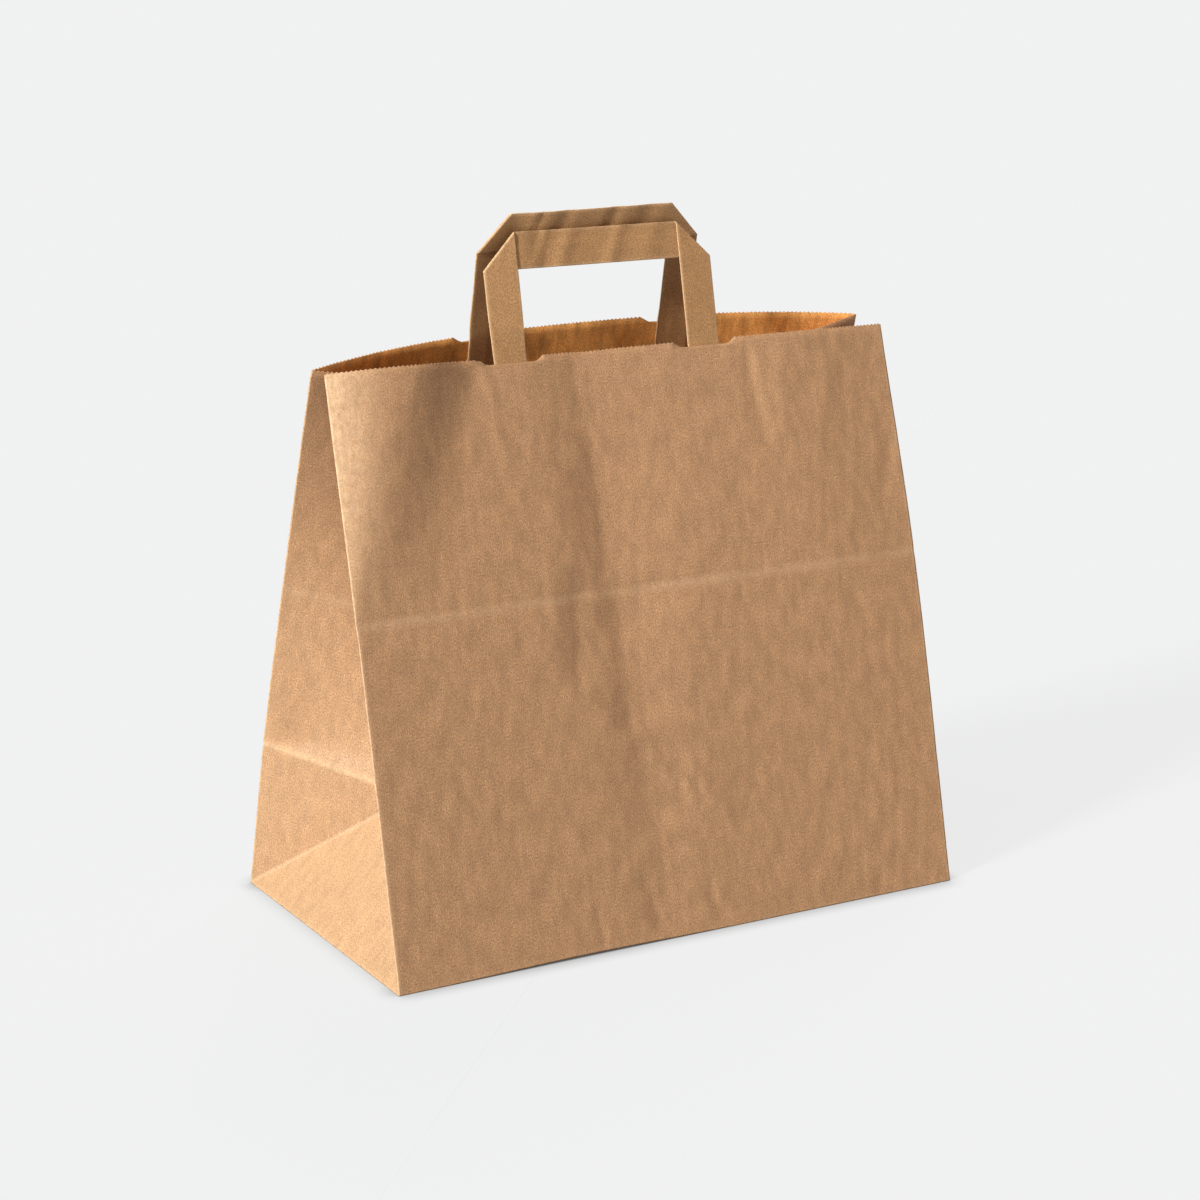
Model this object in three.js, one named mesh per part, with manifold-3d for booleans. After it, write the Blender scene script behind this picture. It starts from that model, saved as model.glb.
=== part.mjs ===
// A brown kraft paper bag with a block bottom, side gussets and two flat paper handles.
// It stands on its base with the mouth drawn nearly shut, the way a bag hangs after unfolding.
// Millimetres, +Z up, front panel facing -Y, origin on the table under the middle of the base.
import * as THREE from "three";
import { mergeVertices } from "three/addons/utils/BufferGeometryUtils.js";
import Module from "manifold-3d";

const wasm = await Module();
wasm.setup();

// Body sheet
const bagWidth = 320;
const bagDepth = 165;
const panelHeight = 290;
const sheetThickness = 0.2;
const foldWidth = 1.2;
const basePlies = 4;
const flapLap = 20;
const baseRim = 1;
const baseCornerInset = 3.6;

// How the panels hang: y of the front side edges at the rim, and the gap to the back ones
const mouthLine = 0.5;
const leftMouthGap = 4;
const rightMouthGap = 12;
const pressLineHeight = 170;
const pressLineSoftness = 25;
const gussetFoldSoftness = 12;
const lowLeanShare = 0.75;
const backBelly = 22.5;
const backBellyGrowth = 1.43;
const backBellyRoundness = 2.2;
const backSlip = -5.1;
const backSlipGrowth = 1.5;

// Soft dents of the front panel
const cornerRollRise = 6.5;
const cornerRollWidth = 36;
const cornerRollFade = 42;
const cornerRollLength = 115;
const hollowDepth = 2.6;
const hollowOffset = -23;
const hollowRun = 30;
const hollowReturn = 75;
const hollowLength = 190;
const rightBellyRise = 2;
const rightBellyOffset = 105;
const rightBellyWidth = 60;
const rightBellyGrowth = 2;
const narrowestCrest = 1;

// Handles and the patches that hold their legs
const handleWidth = 128;
const handleRise = 60;
const stripWidth = 18;
const stripThickness = 0.8;
const legTail = 55;
const frontHandleShift = -3.5;
const backHandleShift = 1.6;
const frontHandleLean = 13.9;
const backHandleLean = -8.5;
const patchWidth = 140;
const patchHeight = 40;
const patchDrop = 22;
const patchThickness = 0.2;
const patchLegClear = 1.5;
const patchStepRun = 3.5;
const glueGap = 0.3;
const foldRound = 0.4;
const foldBite = 0.1;
const legStandStart = 0.2;

// Rim notches, one round each leg
const notchWidth = 28;
const notchDepth = 2.4;
const notchSlope = 3;

// Fineness of the faceted sheet
const panelCells = 24;
const dentCells = 5;
const lowRows = 3;
const middleRows = 3;
const highRows = 7;
const gussetCells = 3;
const closestColumns = 2.5;
const sheetGrid = 60;
const normalSpanAcross = 0.05;
const normalSpanUp = 8;
const sharpestMitre = 0.5;
const stripCells = 2;
const tailRows = 4;
const standRows = 2;
const barCells = 3;
const patchRows = 3;
const weldDistance = 1e-5;

const halfDepth = bagDepth / 2;
const halfWidth = bagWidth / 2;
const legOffset = (handleWidth - stripWidth) / 2;

const kraft = new THREE.MeshStandardMaterial({ color: 0xb98f66, roughness: 0.85, metalness: 0 });
const handleKraft = new THREE.MeshStandardMaterial({ color: 0xb08a60, roughness: 0.85, metalness: 0 });
const patchKraft = new THREE.MeshStandardMaterial({ color: 0xa97f55, roughness: 0.9, metalness: 0 });

const lerp = THREE.MathUtils.lerp;
const mix = (a, b, share) => new THREE.Vector3().lerpVectors(a, b, share);
const along = (from, to) => new THREE.Vector3().subVectors(to, from);
const steps = (count, low, high) => Array.from({ length: count + 1 }, (_, i) => lerp(low, high, i / count));

// Height along the paper to distance leaned in, steeper above a soft bend
function leanReach(t, bendAt, softness) {
  const bend = (height) => softness * Math.log1p(Math.exp((height - bendAt) / softness));
  const ramp = bend(t) - bend(0);
  return lowLeanShare * t + (1 - lowLeanShare) * ramp;
}

function frontEdgeDepth(t) {
  const share = leanReach(t, pressLineHeight, pressLineSoftness)
    / leanReach(panelHeight, pressLineHeight, pressLineSoftness);
  return lerp(-halfDepth, mouthLine, share);
}

function backEdgeDepth(t, gap) {
  const share = leanReach(t, halfDepth, gussetFoldSoftness) / leanReach(panelHeight, halfDepth, gussetFoldSoftness);
  return lerp(halfDepth, mouthLine + gap, share);
}

// A crease-like rise of 1 at 0 that runs out at -left and at +right
function crest(offset, left, right) {
  const share = offset < 0 ? 1 + offset / left : 1 - offset / right;
  return THREE.MathUtils.smoothstep(share, 0, 1);
}

// The same, but round on its left: steepest where it starts
function roundedCrest(offset, left, right) {
  const start = THREE.MathUtils.clamp(1 + offset / left, 0, 1);
  return offset < 0 ? start * (2 - start) : crest(offset, left, right);
}

// The same, but hollow on its left: steepest where it ends, in a crease at 0
function creasedCrest(offset, left, right) {
  const start = THREE.MathUtils.clamp(1 + offset / left, 0, 1);
  return offset < 0 ? start ** 2 : crest(offset, left, right);
}

// How far the front sheet stands forward of the flat panel between its side edges
function frontRelief(u, t) {
  const x = u * halfWidth;
  const fromRim = panelHeight - t;
  const roll = Math.max(0, 1 - fromRim / cornerRollLength);
  const rollAt = -halfWidth + cornerRollWidth * roll;
  const corner = cornerRollRise * roll
    * roundedCrest(x - rollAt, cornerRollWidth * roll + narrowestCrest, cornerRollFade);
  const hollow = hollowDepth * Math.max(0, 1 - fromRim / hollowLength)
    * creasedCrest(x - hollowOffset, hollowRun, hollowReturn);
  const belly = rightBellyRise * (t / panelHeight) ** rightBellyGrowth
    * crest(x - rightBellyOffset, rightBellyWidth, halfWidth - rightBellyOffset);
  return corner - hollow + belly;
}

function frontDepth(u, t) {
  return frontEdgeDepth(t) - frontRelief(u, t);
}

function backDepth(u, t) {
  const edge = lerp(backEdgeDepth(t, leftMouthGap), backEdgeDepth(t, rightMouthGap), (1 + u) / 2);
  const belly = backBelly * (1 - Math.abs(u) ** backBellyRoundness);
  return edge + belly * (t / panelHeight) ** backBellyGrowth;
}

// Hangs an unstretched sheet on a depth profile: heights and widths shrink where it leans or bends.
// The result gives the point at share u across (-1 to 1) and length t up the paper.
function hangSheet(depthAt, slip) {
  const us = steps(sheetGrid, -1, 1);
  const ts = steps(sheetGrid, 0, panelHeight);
  const middle = sheetGrid / 2;
  const stepUp = panelHeight / sheetGrid;
  const stepAcross = bagWidth / sheetGrid;
  const points = us.map((u) => ts.map((t) => new THREE.Vector3(0, depthAt(u, t), 0)));
  for (const column of points) {
    for (let j = 1; j <= sheetGrid; j++) {
      column[j].z = column[j - 1].z + Math.sqrt(stepUp ** 2 - (column[j].y - column[j - 1].y) ** 2);
    }
  }
  for (let j = 0; j <= sheetGrid; j++) {
    points[middle][j].x = slip * (ts[j] / panelHeight) ** backSlipGrowth;
    for (let i = 1; i <= middle; i++) {
      for (const way of [-1, 1]) {
        const near = points[middle + way * (i - 1)][j];
        const far = points[middle + way * i][j];
        const across = Math.sqrt(stepAcross ** 2 - (far.y - near.y) ** 2 - (far.z - near.z) ** 2);
        far.x = near.x + way * across;
      }
    }
  }
  return (u, t) => {
    const column = THREE.MathUtils.clamp(((u + 1) / 2) * sheetGrid, 0, sheetGrid);
    const row = THREE.MathUtils.clamp((t / panelHeight) * sheetGrid, 0, sheetGrid);
    const i = Math.min(Math.floor(column), sheetGrid - 1);
    const j = Math.min(Math.floor(row), sheetGrid - 1);
    const low = mix(points[i][j], points[i + 1][j], column - i);
    const high = mix(points[i][j + 1], points[i + 1][j + 1], column - i);
    return low.lerp(high, row - j);
  };
}

// Unit normal of a hung sheet, pointing to -Y
function sheetNormal(sheet, u, t) {
  const across = along(sheet(u - normalSpanAcross, t), sheet(u + normalSpanAcross, t));
  const up = along(sheet(u, t - normalSpanUp), sheet(u, t + normalSpanUp));
  return across.cross(up).normalize();
}

// A panel's inward is the sign of y towards the middle of the bag
const frontPanel = {
  sheet: hangSheet(frontDepth, 0),
  inward: 1,
  shift: frontHandleShift,
  lean: frontHandleLean,
  dents: [
    ...steps(dentCells, hollowOffset - hollowRun, hollowOffset),
    ...steps(dentCells, hollowOffset, hollowOffset + hollowReturn).slice(1),
  ],
};
const backPanel = {
  sheet: hangSheet(backDepth, backSlip),
  inward: -1,
  shift: backHandleShift,
  lean: backHandleLean,
  dents: [],
};

// Share across the panel of a place measured from the panel's middle
const shareAt = (offset) => offset / halfWidth;

function notchColumns(shift) {
  const reach = [notchWidth / 2, notchWidth / 2 + notchSlope];
  const offsets = reach.flatMap((r) => [-r, r]);
  return [-legOffset, legOffset].flatMap((leg) => offsets.map((offset) => shareAt(shift + leg + offset)));
}

// Shares across a panel for its columns: notch corners and dents, and an even spread between them
function panelColumns(panel) {
  const fixed = [-1, 1, ...notchColumns(panel.shift), ...panel.dents.map(shareAt)];
  const clear = shareAt(closestColumns);
  const spread = steps(panelCells, -1, 1).filter((u) => fixed.every((f) => Math.abs(u - f) > clear));
  return [...fixed, ...spread].sort((a, b) => a - b);
}

// Length cut from the rim at a share across the panel
function notchCut(u, shift) {
  const fromLegs = [-legOffset, legOffset].map((leg) => Math.abs(u * halfWidth - shift - leg));
  const past = (Math.min(...fromLegs) - notchWidth / 2) / notchSlope;
  return notchDepth * (1 - THREE.MathUtils.clamp(past, 0, 1));
}

const rowHeights = [
  ...steps(lowRows, 0, halfDepth),
  ...steps(middleRows, halfDepth, pressLineHeight).slice(1),
  ...steps(highRows, pressLineHeight, panelHeight).slice(1),
];

// In the plane y = centre.y: the point at one distance from a centre and at a paper length from
// another point, on the side of the line through both that faces a target
function creasePoint(centre, radius, other, length, target) {
  const reach = Math.sqrt(length ** 2 - (centre.y - other.y) ** 2);
  const from = new THREE.Vector2(centre.x, centre.z);
  const line = new THREE.Vector2(other.x, other.z).sub(from);
  const apart = line.length();
  line.divideScalar(apart);
  const foot = (radius ** 2 - reach ** 2 + apart ** 2) / (2 * apart);
  const aside = Math.sqrt(Math.max(0, radius ** 2 - foot ** 2));
  const normal = new THREE.Vector2(-line.y, line.x);
  const side = Math.sign(normal.dot(new THREE.Vector2(target.x, target.z).sub(from)));
  const point = from.addScaledVector(line, foot).addScaledVector(normal, side * aside);
  return new THREE.Vector3(point.x, centre.y, point.y);
}

// One gusset, as rows of points from the front panel's edge to the back panel's, both left out.
// Its middle crease keeps half the depth from both edges; below it the sheet fans to the base corners.
function gussetRows(side) {
  const frontSheet = frontPanel.sheet;
  const backSheet = backPanel.sheet;
  const corner = frontSheet(side, 0);
  const cornerFront = corner.clone().add(new THREE.Vector3(0, baseCornerInset, 0));
  const cornerBack = cornerFront.clone().setY(-cornerFront.y);
  const hinge = (t) => {
    const centre = mix(frontSheet(side, t), backSheet(side, t), 0.5);
    const spread = (backSheet(side, t).y - frontSheet(side, t).y) / 2;
    return [centre, Math.sqrt(halfDepth ** 2 - spread ** 2)];
  };
  const bagMiddle = new THREE.Vector3(0, 0, halfDepth);
  let crease = creasePoint(...hinge(halfDepth), corner, halfDepth * Math.SQRT2, bagMiddle);
  let creaseHeight = halfDepth;
  return rowHeights.map((t) => {
    const front = frontSheet(side, t);
    const back = backSheet(side, t);
    const frontStart = front.clone().addScaledVector(sheetNormal(frontSheet, side, t), -foldWidth);
    const backStart = back.clone().addScaledVector(sheetNormal(backSheet, side, t), foldWidth);
    if (t > halfDepth) {
      const above = crease.clone().add(new THREE.Vector3(0, 0, bagDepth));
      crease = creasePoint(...hinge(t), crease, t - creaseHeight, above);
      creaseHeight = t;
    }
    const fan = Math.max(0, 1 - t / halfDepth);
    const split = new THREE.Vector3(0, foldWidth / 2, 0);
    const onFront = mix(crease.clone().sub(split), cornerFront, fan);
    const onBack = mix(crease.clone().add(split), cornerBack, fan);
    const shares = steps(gussetCells, 0, 1);
    return [
      ...shares.map((share) => mix(frontStart, onFront, share)),
      ...shares.map((share) => mix(onBack, backStart, share)),
    ];
  });
}

// The two faces of a thick sheet, from rows of points on its middle. A ring closes on itself sideways.
function facesOf(rows, thickness, ring) {
  const count = rows[0].length;
  const last = rows.length - 1;
  const wrap = (i) => (ring ? (i + count) % count : THREE.MathUtils.clamp(i, 0, count - 1));
  const offsets = rows.map((row, j) => row.map((point, i) => {
    const up = along(rows[Math.max(0, j - 1)][i], rows[Math.min(last, j + 1)][i]);
    const normals = [[i - 1, i], [i, i + 1]]
      .map(([from, to]) => along(row[wrap(from)], row[wrap(to)]).cross(up))
      .filter((normal) => normal.lengthSq() > 0)
      .map((normal) => (ring && j === 0 ? normal.setZ(0) : normal).normalize());
    const offset = normals.reduce((sum, normal) => sum.add(normal), new THREE.Vector3()).normalize();
    const mitre = 1 / Math.max(sharpestMitre, offset.dot(normals[0]));
    return offset.multiplyScalar((mitre * thickness) / 2);
  }));
  const face = (way) => rows.map((row, j) => row.map((point, i) => point.clone().addScaledVector(offsets[j][i], way)));
  return [face(1), face(-1)];
}

// Collects points and faces of a closed surface
function surface() {
  const vertices = [];
  const triangles = [];
  return {
    add: (point) => vertices.push(point) - 1,
    quad: (a, b, c, d) => triangles.push(a, b, c, a, c, d),
    triangle: (a, b, c) => triangles.push(a, b, c),
    geometry: () => {
      const geometry = new THREE.BufferGeometry().setFromPoints(vertices);
      return geometry.setIndex(triangles);
    },
  };
}

// Closed solid of an open sheet
function thickSheet(rows, thickness) {
  const shell = surface();
  const [front, rear] = facesOf(rows, thickness, false).map((face) => face.map((row) => row.map(shell.add)));
  const last = rows.length - 1;
  const end = rows[0].length - 1;
  for (let j = 0; j < last; j++) {
    for (let i = 0; i < end; i++) {
      shell.quad(front[j][i], front[j][i + 1], front[j + 1][i + 1], front[j + 1][i]);
      shell.quad(rear[j][i], rear[j + 1][i], rear[j + 1][i + 1], rear[j][i + 1]);
    }
    shell.quad(front[j][0], front[j + 1][0], rear[j + 1][0], rear[j][0]);
    shell.quad(front[j][end], rear[j][end], rear[j + 1][end], front[j + 1][end]);
  }
  for (let i = 0; i < end; i++) {
    shell.quad(front[0][i], rear[0][i], rear[0][i + 1], front[0][i + 1]);
    shell.quad(front[last][i], front[last][i + 1], rear[last][i + 1], rear[last][i]);
  }
  return shell.geometry();
}

// Closed solid of a ring sheet that stands on a floor of its own
function vessel(rows, thickness, floor) {
  const shell = surface();
  const [outerFace, innerFace] = facesOf(rows, thickness, true);
  innerFace[0] = innerFace[0].map((point, i) => mix(point, innerFace[1][i], floor / innerFace[1][i].z));
  const [outer, inner] = [outerFace, innerFace].map((face) => face.map((row) => row.map(shell.add)));
  const under = shell.add(new THREE.Vector3(0, 0, 0));
  const over = shell.add(new THREE.Vector3(0, 0, floor));
  const count = rows[0].length;
  const last = rows.length - 1;
  for (let i = 0; i < count; i++) {
    const next = (i + 1) % count;
    for (let j = 0; j < last; j++) {
      shell.quad(outer[j][i], outer[j][next], outer[j + 1][next], outer[j + 1][i]);
      shell.quad(inner[j][i], inner[j + 1][i], inner[j + 1][next], inner[j][next]);
    }
    shell.quad(outer[last][i], outer[last][next], inner[last][next], inner[last][i]);
    shell.triangle(under, outer[0][next], outer[0][i]);
    shell.triangle(over, inner[0][i], inner[0][next]);
  }
  return shell.geometry();
}

function solidOf(geometry) {
  const bare = new THREE.BufferGeometry();
  bare.setAttribute("position", geometry.getAttribute("position"));
  bare.setIndex(geometry.getIndex());
  const merged = mergeVertices(bare, weldDistance);
  return new wasm.Manifold(new wasm.Mesh({
    numProp: 3,
    vertProperties: new Float32Array(merged.getAttribute("position").array),
    triVerts: new Uint32Array(merged.getIndex().array),
  }));
}

function geometryOf(solid) {
  const mesh = solid.getMesh();
  const geometry = new THREE.BufferGeometry();
  geometry.setAttribute("position", new THREE.Float32BufferAttribute(mesh.vertProperties, 3));
  return geometry.setIndex(Array.from(mesh.triVerts));
}

function plate(corners, bottom, top) {
  const shape = new THREE.Shape(corners.map(([x, y]) => new THREE.Vector2(x, y)));
  const geometry = new THREE.ExtrudeGeometry(shape, { depth: top - bottom, bevelEnabled: false });
  return geometry.translate(0, 0, bottom);
}

// Recesses under the base that leave the lapped flaps standing, the front flap outermost.
// Both long flaps are mitred at 45 degrees, so each end shows a triangle of the innermost ply.
function flapRecesses() {
  const seam = flapLap / 2;
  const rim = baseRim;
  const toSeam = halfDepth + seam;
  const pastSeam = halfDepth - seam;
  const aroundFrontFlap = [
    [-halfWidth + rim, -halfDepth + 2 * rim],
    [-halfWidth + toSeam - rim, seam],
    [halfWidth - toSeam + rim, seam],
    [halfWidth - rim, -halfDepth + 2 * rim],
    [halfWidth - rim, halfDepth - rim],
    [-halfWidth + rim, halfDepth - rim],
  ];
  const endTriangle = (side) => [
    [side * (halfWidth - 2 * rim), -halfDepth + 4 * rim],
    [side * (halfWidth - toSeam + 3 * rim), seam - rim],
    [side * (halfWidth - pastSeam - rim), seam - rim],
    [side * (halfWidth - 2 * rim), halfDepth - 2 * rim],
  ];
  return [
    plate(aroundFrontFlap, -rim, sheetThickness),
    plate(endTriangle(-1), -rim, 2 * sheetThickness),
    plate(endTriangle(1), -rim, 2 * sheetThickness),
  ];
}

function bagBody() {
  const backwards = (panel) => panelColumns(panel).reverse();
  const right = gussetRows(1);
  const left = gussetRows(-1);
  const top = rowHeights.length - 1;
  const rows = rowHeights.map((t, j) => {
    const cutSheet = (panel) => (u) => panel.sheet(u, j === top ? t - notchCut(u, panel.shift) : t);
    const points = [
      ...panelColumns(frontPanel).map(cutSheet(frontPanel)),
      ...right[j],
      ...backwards(backPanel).map(cutSheet(backPanel)),
      ...left[j].toReversed(),
    ];
    return j === 0 ? points.map((point) => point.setZ(0)) : points;
  });
  const body = solidOf(vessel(rows, sheetThickness, basePlies * sheetThickness));
  return geometryOf(flapRecesses().reduce((rest, recess) => rest.subtract(solidOf(recess)), body));
}

// Place at a depth inside a panel, from its middle surface
function inside(panel, offset, t, depth) {
  const u = shareAt(offset);
  const normal = sheetNormal(panel.sheet, u, t);
  return panel.sheet(u, t).addScaledVector(normal, -panel.inward * depth);
}

const legDepth = sheetThickness / 2 + glueGap + stripThickness / 2;

// A handle is one folded strip: two legs outside and a crossbar inside, meeting in mitred folds
function handle(panel) {
  const seats = [-1, 1].map((side) => inside(panel, panel.shift + side * legOffset, panelHeight, legDepth));
  const middle = mix(seats[0], seats[1], 0.5);
  const right = along(seats[0], seats[1]).normalize();
  const lean = THREE.MathUtils.degToRad(panel.lean);
  const up = new THREE.Vector3(0, Math.sin(lean), Math.cos(lean));
  up.addScaledVector(right, -up.dot(right)).normalize();
  const outward = new THREE.Vector3().crossVectors(right, up);
  const place = (p, rise, inset) => middle.clone()
    .addScaledVector(right, p)
    .addScaledVector(up, rise)
    .addScaledVector(outward, -panel.inward * inset);
  const leg = (side) => {
    const across = steps(stripCells, legOffset - stripWidth / 2, legOffset + stripWidth / 2)
      .map((offset) => side * offset)
      .sort((a, b) => a - b);
    const tail = steps(tailRows, panelHeight - legTail, panelHeight)
      .map((t) => across.map((p) => inside(panel, panel.shift + p, t, legDepth)));
    const mitreTop = (p) => handleRise - (Math.abs(p) - legOffset + stripWidth / 2);
    const stand = steps(standRows, legStandStart, 1).map((share) => across.map((p) => place(p, share * mitreTop(p), 0)));
    return thickSheet([...tail, ...stand], stripThickness);
  };
  const barEnd = handleWidth / 2 - foldRound;
  const barDepth = stripThickness - foldBite;
  const bar = thickSheet([
    steps(barCells, -barEnd, barEnd).map((p) => place(p, handleRise - stripWidth, barDepth)),
    steps(barCells, stripWidth - barEnd, barEnd - stripWidth).map((p) => place(p, handleRise - foldRound, barDepth)),
  ], stripThickness);
  return geometryOf([leg(-1), leg(1), bar].map(solidOf).reduce((sum, solid) => sum.add(solid)));
}

// A patch lies on the panel and steps up over each leg
function patch(panel) {
  const overLeg = sheetThickness / 2 + glueGap + stripThickness + glueGap + patchThickness / 2;
  const onPanel = sheetThickness / 2 + glueGap + patchThickness / 2;
  const nearLeg = stripWidth / 2 + patchLegClear;
  const pastLeg = nearLeg + patchStepRun;
  const legs = [-legOffset, legOffset];
  const depthAt = (offset) => {
    const past = Math.min(...legs.map((leg) => Math.abs(offset - leg)));
    const drop = THREE.MathUtils.clamp((past - nearLeg) / (pastLeg - nearLeg), 0, 1);
    return lerp(overLeg, onPanel, drop);
  };
  const bends = legs.flatMap((leg) => [-pastLeg, -nearLeg, 0, nearLeg, pastLeg].map((offset) => leg + offset));
  const dents = panel.dents.map((offset) => offset - panel.shift);
  const flatMiddle = legOffset / 3;
  const offsets = [-patchWidth / 2, ...bends, ...dents, flatMiddle, patchWidth / 2]
    .filter((offset) => Math.abs(offset) <= patchWidth / 2)
    .sort((a, b) => a - b);
  const top = panelHeight - patchDrop;
  const rows = steps(patchRows, top - patchHeight, top)
    .map((t) => offsets.map((offset) => inside(panel, panel.shift + offset, t, depthAt(offset))));
  return thickSheet(rows, patchThickness);
}

function named(name, geometry, material) {
  geometry.computeVertexNormals();
  const mesh = new THREE.Mesh(geometry, material);
  mesh.name = name;
  return mesh;
}

const bag = new THREE.Group();
bag.add(named("bag_body", bagBody(), kraft));
bag.add(named("front_handle", handle(frontPanel), handleKraft));
bag.add(named("back_handle", handle(backPanel), handleKraft));
bag.add(named("front_handle_patch", patch(frontPanel), patchKraft));
bag.add(named("back_handle_patch", patch(backPanel), patchKraft));

const reach = new THREE.Box3().setFromObject(bag);
bag.position.set(-(reach.min.x + reach.max.x) / 2, -(reach.min.y + reach.max.y) / 2, 0);

export default bag;
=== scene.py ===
# %% [markdown]
# # A brown paper carrier bag
#
# The bag on the table is one sheet of kraft paper: two wide panels, two gussets folded inwards, and a block
# bottom. Two flat strips of folded paper make the handles, and a glued patch inside each panel holds them.
# A sheet of paper bends but doesn't stretch, so the shapes here are worked out on the flat sheet first and
# then hung in space. Lengths in the formulas are millimetres, and a mesh is turned to metres as it is made.

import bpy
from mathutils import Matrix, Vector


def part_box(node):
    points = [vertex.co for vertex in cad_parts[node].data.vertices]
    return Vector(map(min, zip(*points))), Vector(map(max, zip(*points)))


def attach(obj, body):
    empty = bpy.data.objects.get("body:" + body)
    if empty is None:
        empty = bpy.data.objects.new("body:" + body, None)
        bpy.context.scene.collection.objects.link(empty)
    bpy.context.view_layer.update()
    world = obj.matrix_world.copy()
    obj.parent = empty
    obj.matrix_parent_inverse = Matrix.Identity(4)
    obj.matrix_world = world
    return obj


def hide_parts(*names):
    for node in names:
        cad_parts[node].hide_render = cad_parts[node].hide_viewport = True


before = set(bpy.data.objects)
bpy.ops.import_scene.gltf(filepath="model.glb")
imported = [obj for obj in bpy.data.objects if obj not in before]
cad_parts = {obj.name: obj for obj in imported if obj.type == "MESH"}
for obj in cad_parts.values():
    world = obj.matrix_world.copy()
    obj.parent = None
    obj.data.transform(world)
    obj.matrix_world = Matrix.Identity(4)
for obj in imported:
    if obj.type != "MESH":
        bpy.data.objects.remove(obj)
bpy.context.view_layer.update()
print("CAD nodes:", sorted(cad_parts))

# %% Libraries
import math

import bpy
import numpy as np
from mathutils import Matrix

MILLIMETRE = 0.001
BODY = "root"

# %% [markdown]
# ## The sheet's driving sizes
#
# These are the sizes a bag maker would set: panel width, depth and height, and how far the panels lean in.
# The bag stands with its mouth drawn nearly shut. The front panel leans straight back, and the back panel
# bellies outwards between its side edges. They are the same values as in the part's own source.

# %% Sizes of the bag
BAG_WIDTH = 320
BAG_DEPTH = 165
PANEL_HEIGHT = 290
HALF_WIDTH = BAG_WIDTH / 2
HALF_DEPTH = BAG_DEPTH / 2
PAPER = 0.2
ROUNDING = 1e-6

MOUTH_LINE = 0.5
LEFT_MOUTH_GAP = 4
RIGHT_MOUTH_GAP = 12
PRESS_LINE_HEIGHT = 170
PRESS_LINE_SOFTNESS = 25
GUSSET_FOLD_SOFTNESS = 12
LOW_LEAN_SHARE = 0.75
BACK_BELLY = 22.5
BACK_BELLY_GROWTH = 1.43
BACK_BELLY_ROUNDNESS = 2.2
BACK_SLIP = -5.1
BACK_SLIP_GROWTH = 1.5

# %% [markdown]
# ## Grid of the sheet
#
# The rim of such a bag is cut with a toothed knife, here eleven teeth to an inch. One grid column is one
# tooth, so the teeth are single triangles on top of the sheet. Next to each fold there is one more column
# close to it, so that the fold stays crisp when the surface is shaded smooth. Below the height of half the
# depth, the rows have the same spacing as the gusset's columns, and the gusset's diagonal creases run
# through grid points.

# %% Columns and rows
PANEL_TEETH = 140
GUSSET_TEETH = 72
HIGH_ROWS = 58
FOLD_MARGIN = 0.7
CREASE_MARGIN = 0.45

# Places across a panel from its middle, across a gusset from its front fold, and up the paper from the base
SIDES = np.array([-1, 1])
panel_steps = np.linspace(-HALF_WIDTH, HALF_WIDTH, PANEL_TEETH + 1)
X = np.sort(np.concatenate([panel_steps, SIDES * (HALF_WIDTH - FOLD_MARGIN)]))
gusset_steps = np.linspace(0, BAG_DEPTH, GUSSET_TEETH + 1)[1:-1]
beside = [HALF_DEPTH + SIDES * (HALF_DEPTH - FOLD_MARGIN), HALF_DEPTH + SIDES * CREASE_MARGIN]
W = np.sort(np.concatenate([gusset_steps, *beside]))
low_rows = np.linspace(0, HALF_DEPTH, GUSSET_TEETH // 2 + 1)
high_rows = np.linspace(HALF_DEPTH, PANEL_HEIGHT, HIGH_ROWS + 1)[1:]
T = np.sort(np.concatenate([low_rows, high_rows, [FOLD_MARGIN]]))
MIDDLE = len(X) // 2
print("columns on a panel", len(X), "on a gusset", len(W), "rows", len(T))

# %% [markdown]
# ## Leaning panels
#
# Each side edge leans in from the base and a little more above a soft bend. The front bends where the packed
# bag's bottom was pressed, at 170 mm, and the back at the height of the gusset's fold. A soft bend is a
# softplus: zero slope below, full slope above, and a round corner between.

# %% Lean of the side edges


def smoothstep(value):
    """3v² - 2v³ with v held between 0 and 1: a soft step without corners at its ends."""
    v = np.clip(value, 0, 1)
    return v * v * (3 - 2 * v)


def lean_reach(t, bend_at, softness):
    """Share of the length leaned at once, plus the rest leaned above a soft bend (a softplus of the
    height)."""
    bend = softness * np.log1p(np.exp((t - bend_at) / softness))
    start = softness * np.log1p(np.exp(-bend_at / softness))
    return LOW_LEAN_SHARE * t + (1 - LOW_LEAN_SHARE) * (bend - start)


def leaned(t, bend_at, softness):
    """Share of the whole lean that is reached at a length up the paper."""
    return lean_reach(t, bend_at, softness) / lean_reach(PANEL_HEIGHT, bend_at, softness)


def front_edge_depth(t):
    """y of the front side edges: from half the depth in front to the mouth line, by share of the lean."""
    return -HALF_DEPTH + (MOUTH_LINE + HALF_DEPTH) * leaned(t, PRESS_LINE_HEIGHT, PRESS_LINE_SOFTNESS)


def back_edge_depth(t, gap):
    """y of a back side edge: from half the depth behind to a gap behind the front edge."""
    return HALF_DEPTH + (MOUTH_LINE + gap - HALF_DEPTH) * leaned(t, HALF_DEPTH, GUSSET_FOLD_SOFTNESS)


# %% [markdown]
# ## Dents and creases
#
# Handling leaves marks: the front panel's left edge curls forward near the rim, a long hollow runs down
# beside the left handle leg, and small creases cross the sheet. A mark is a ridge along a line. Its profile
# rises from zero on one side and falls to zero on the other, over two widths of their own, and it fades at
# both ends. A pointed profile gives a crease in the paper, and a rounded one gives a soft wave.

# %% Marks in the sheet


def share_left(offset, left, right):
    """1 at offset 0, falling straight to 0 at -left and at +right."""
    return np.where(offset < 0, 1 + offset / left, 1 - offset / right)


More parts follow.
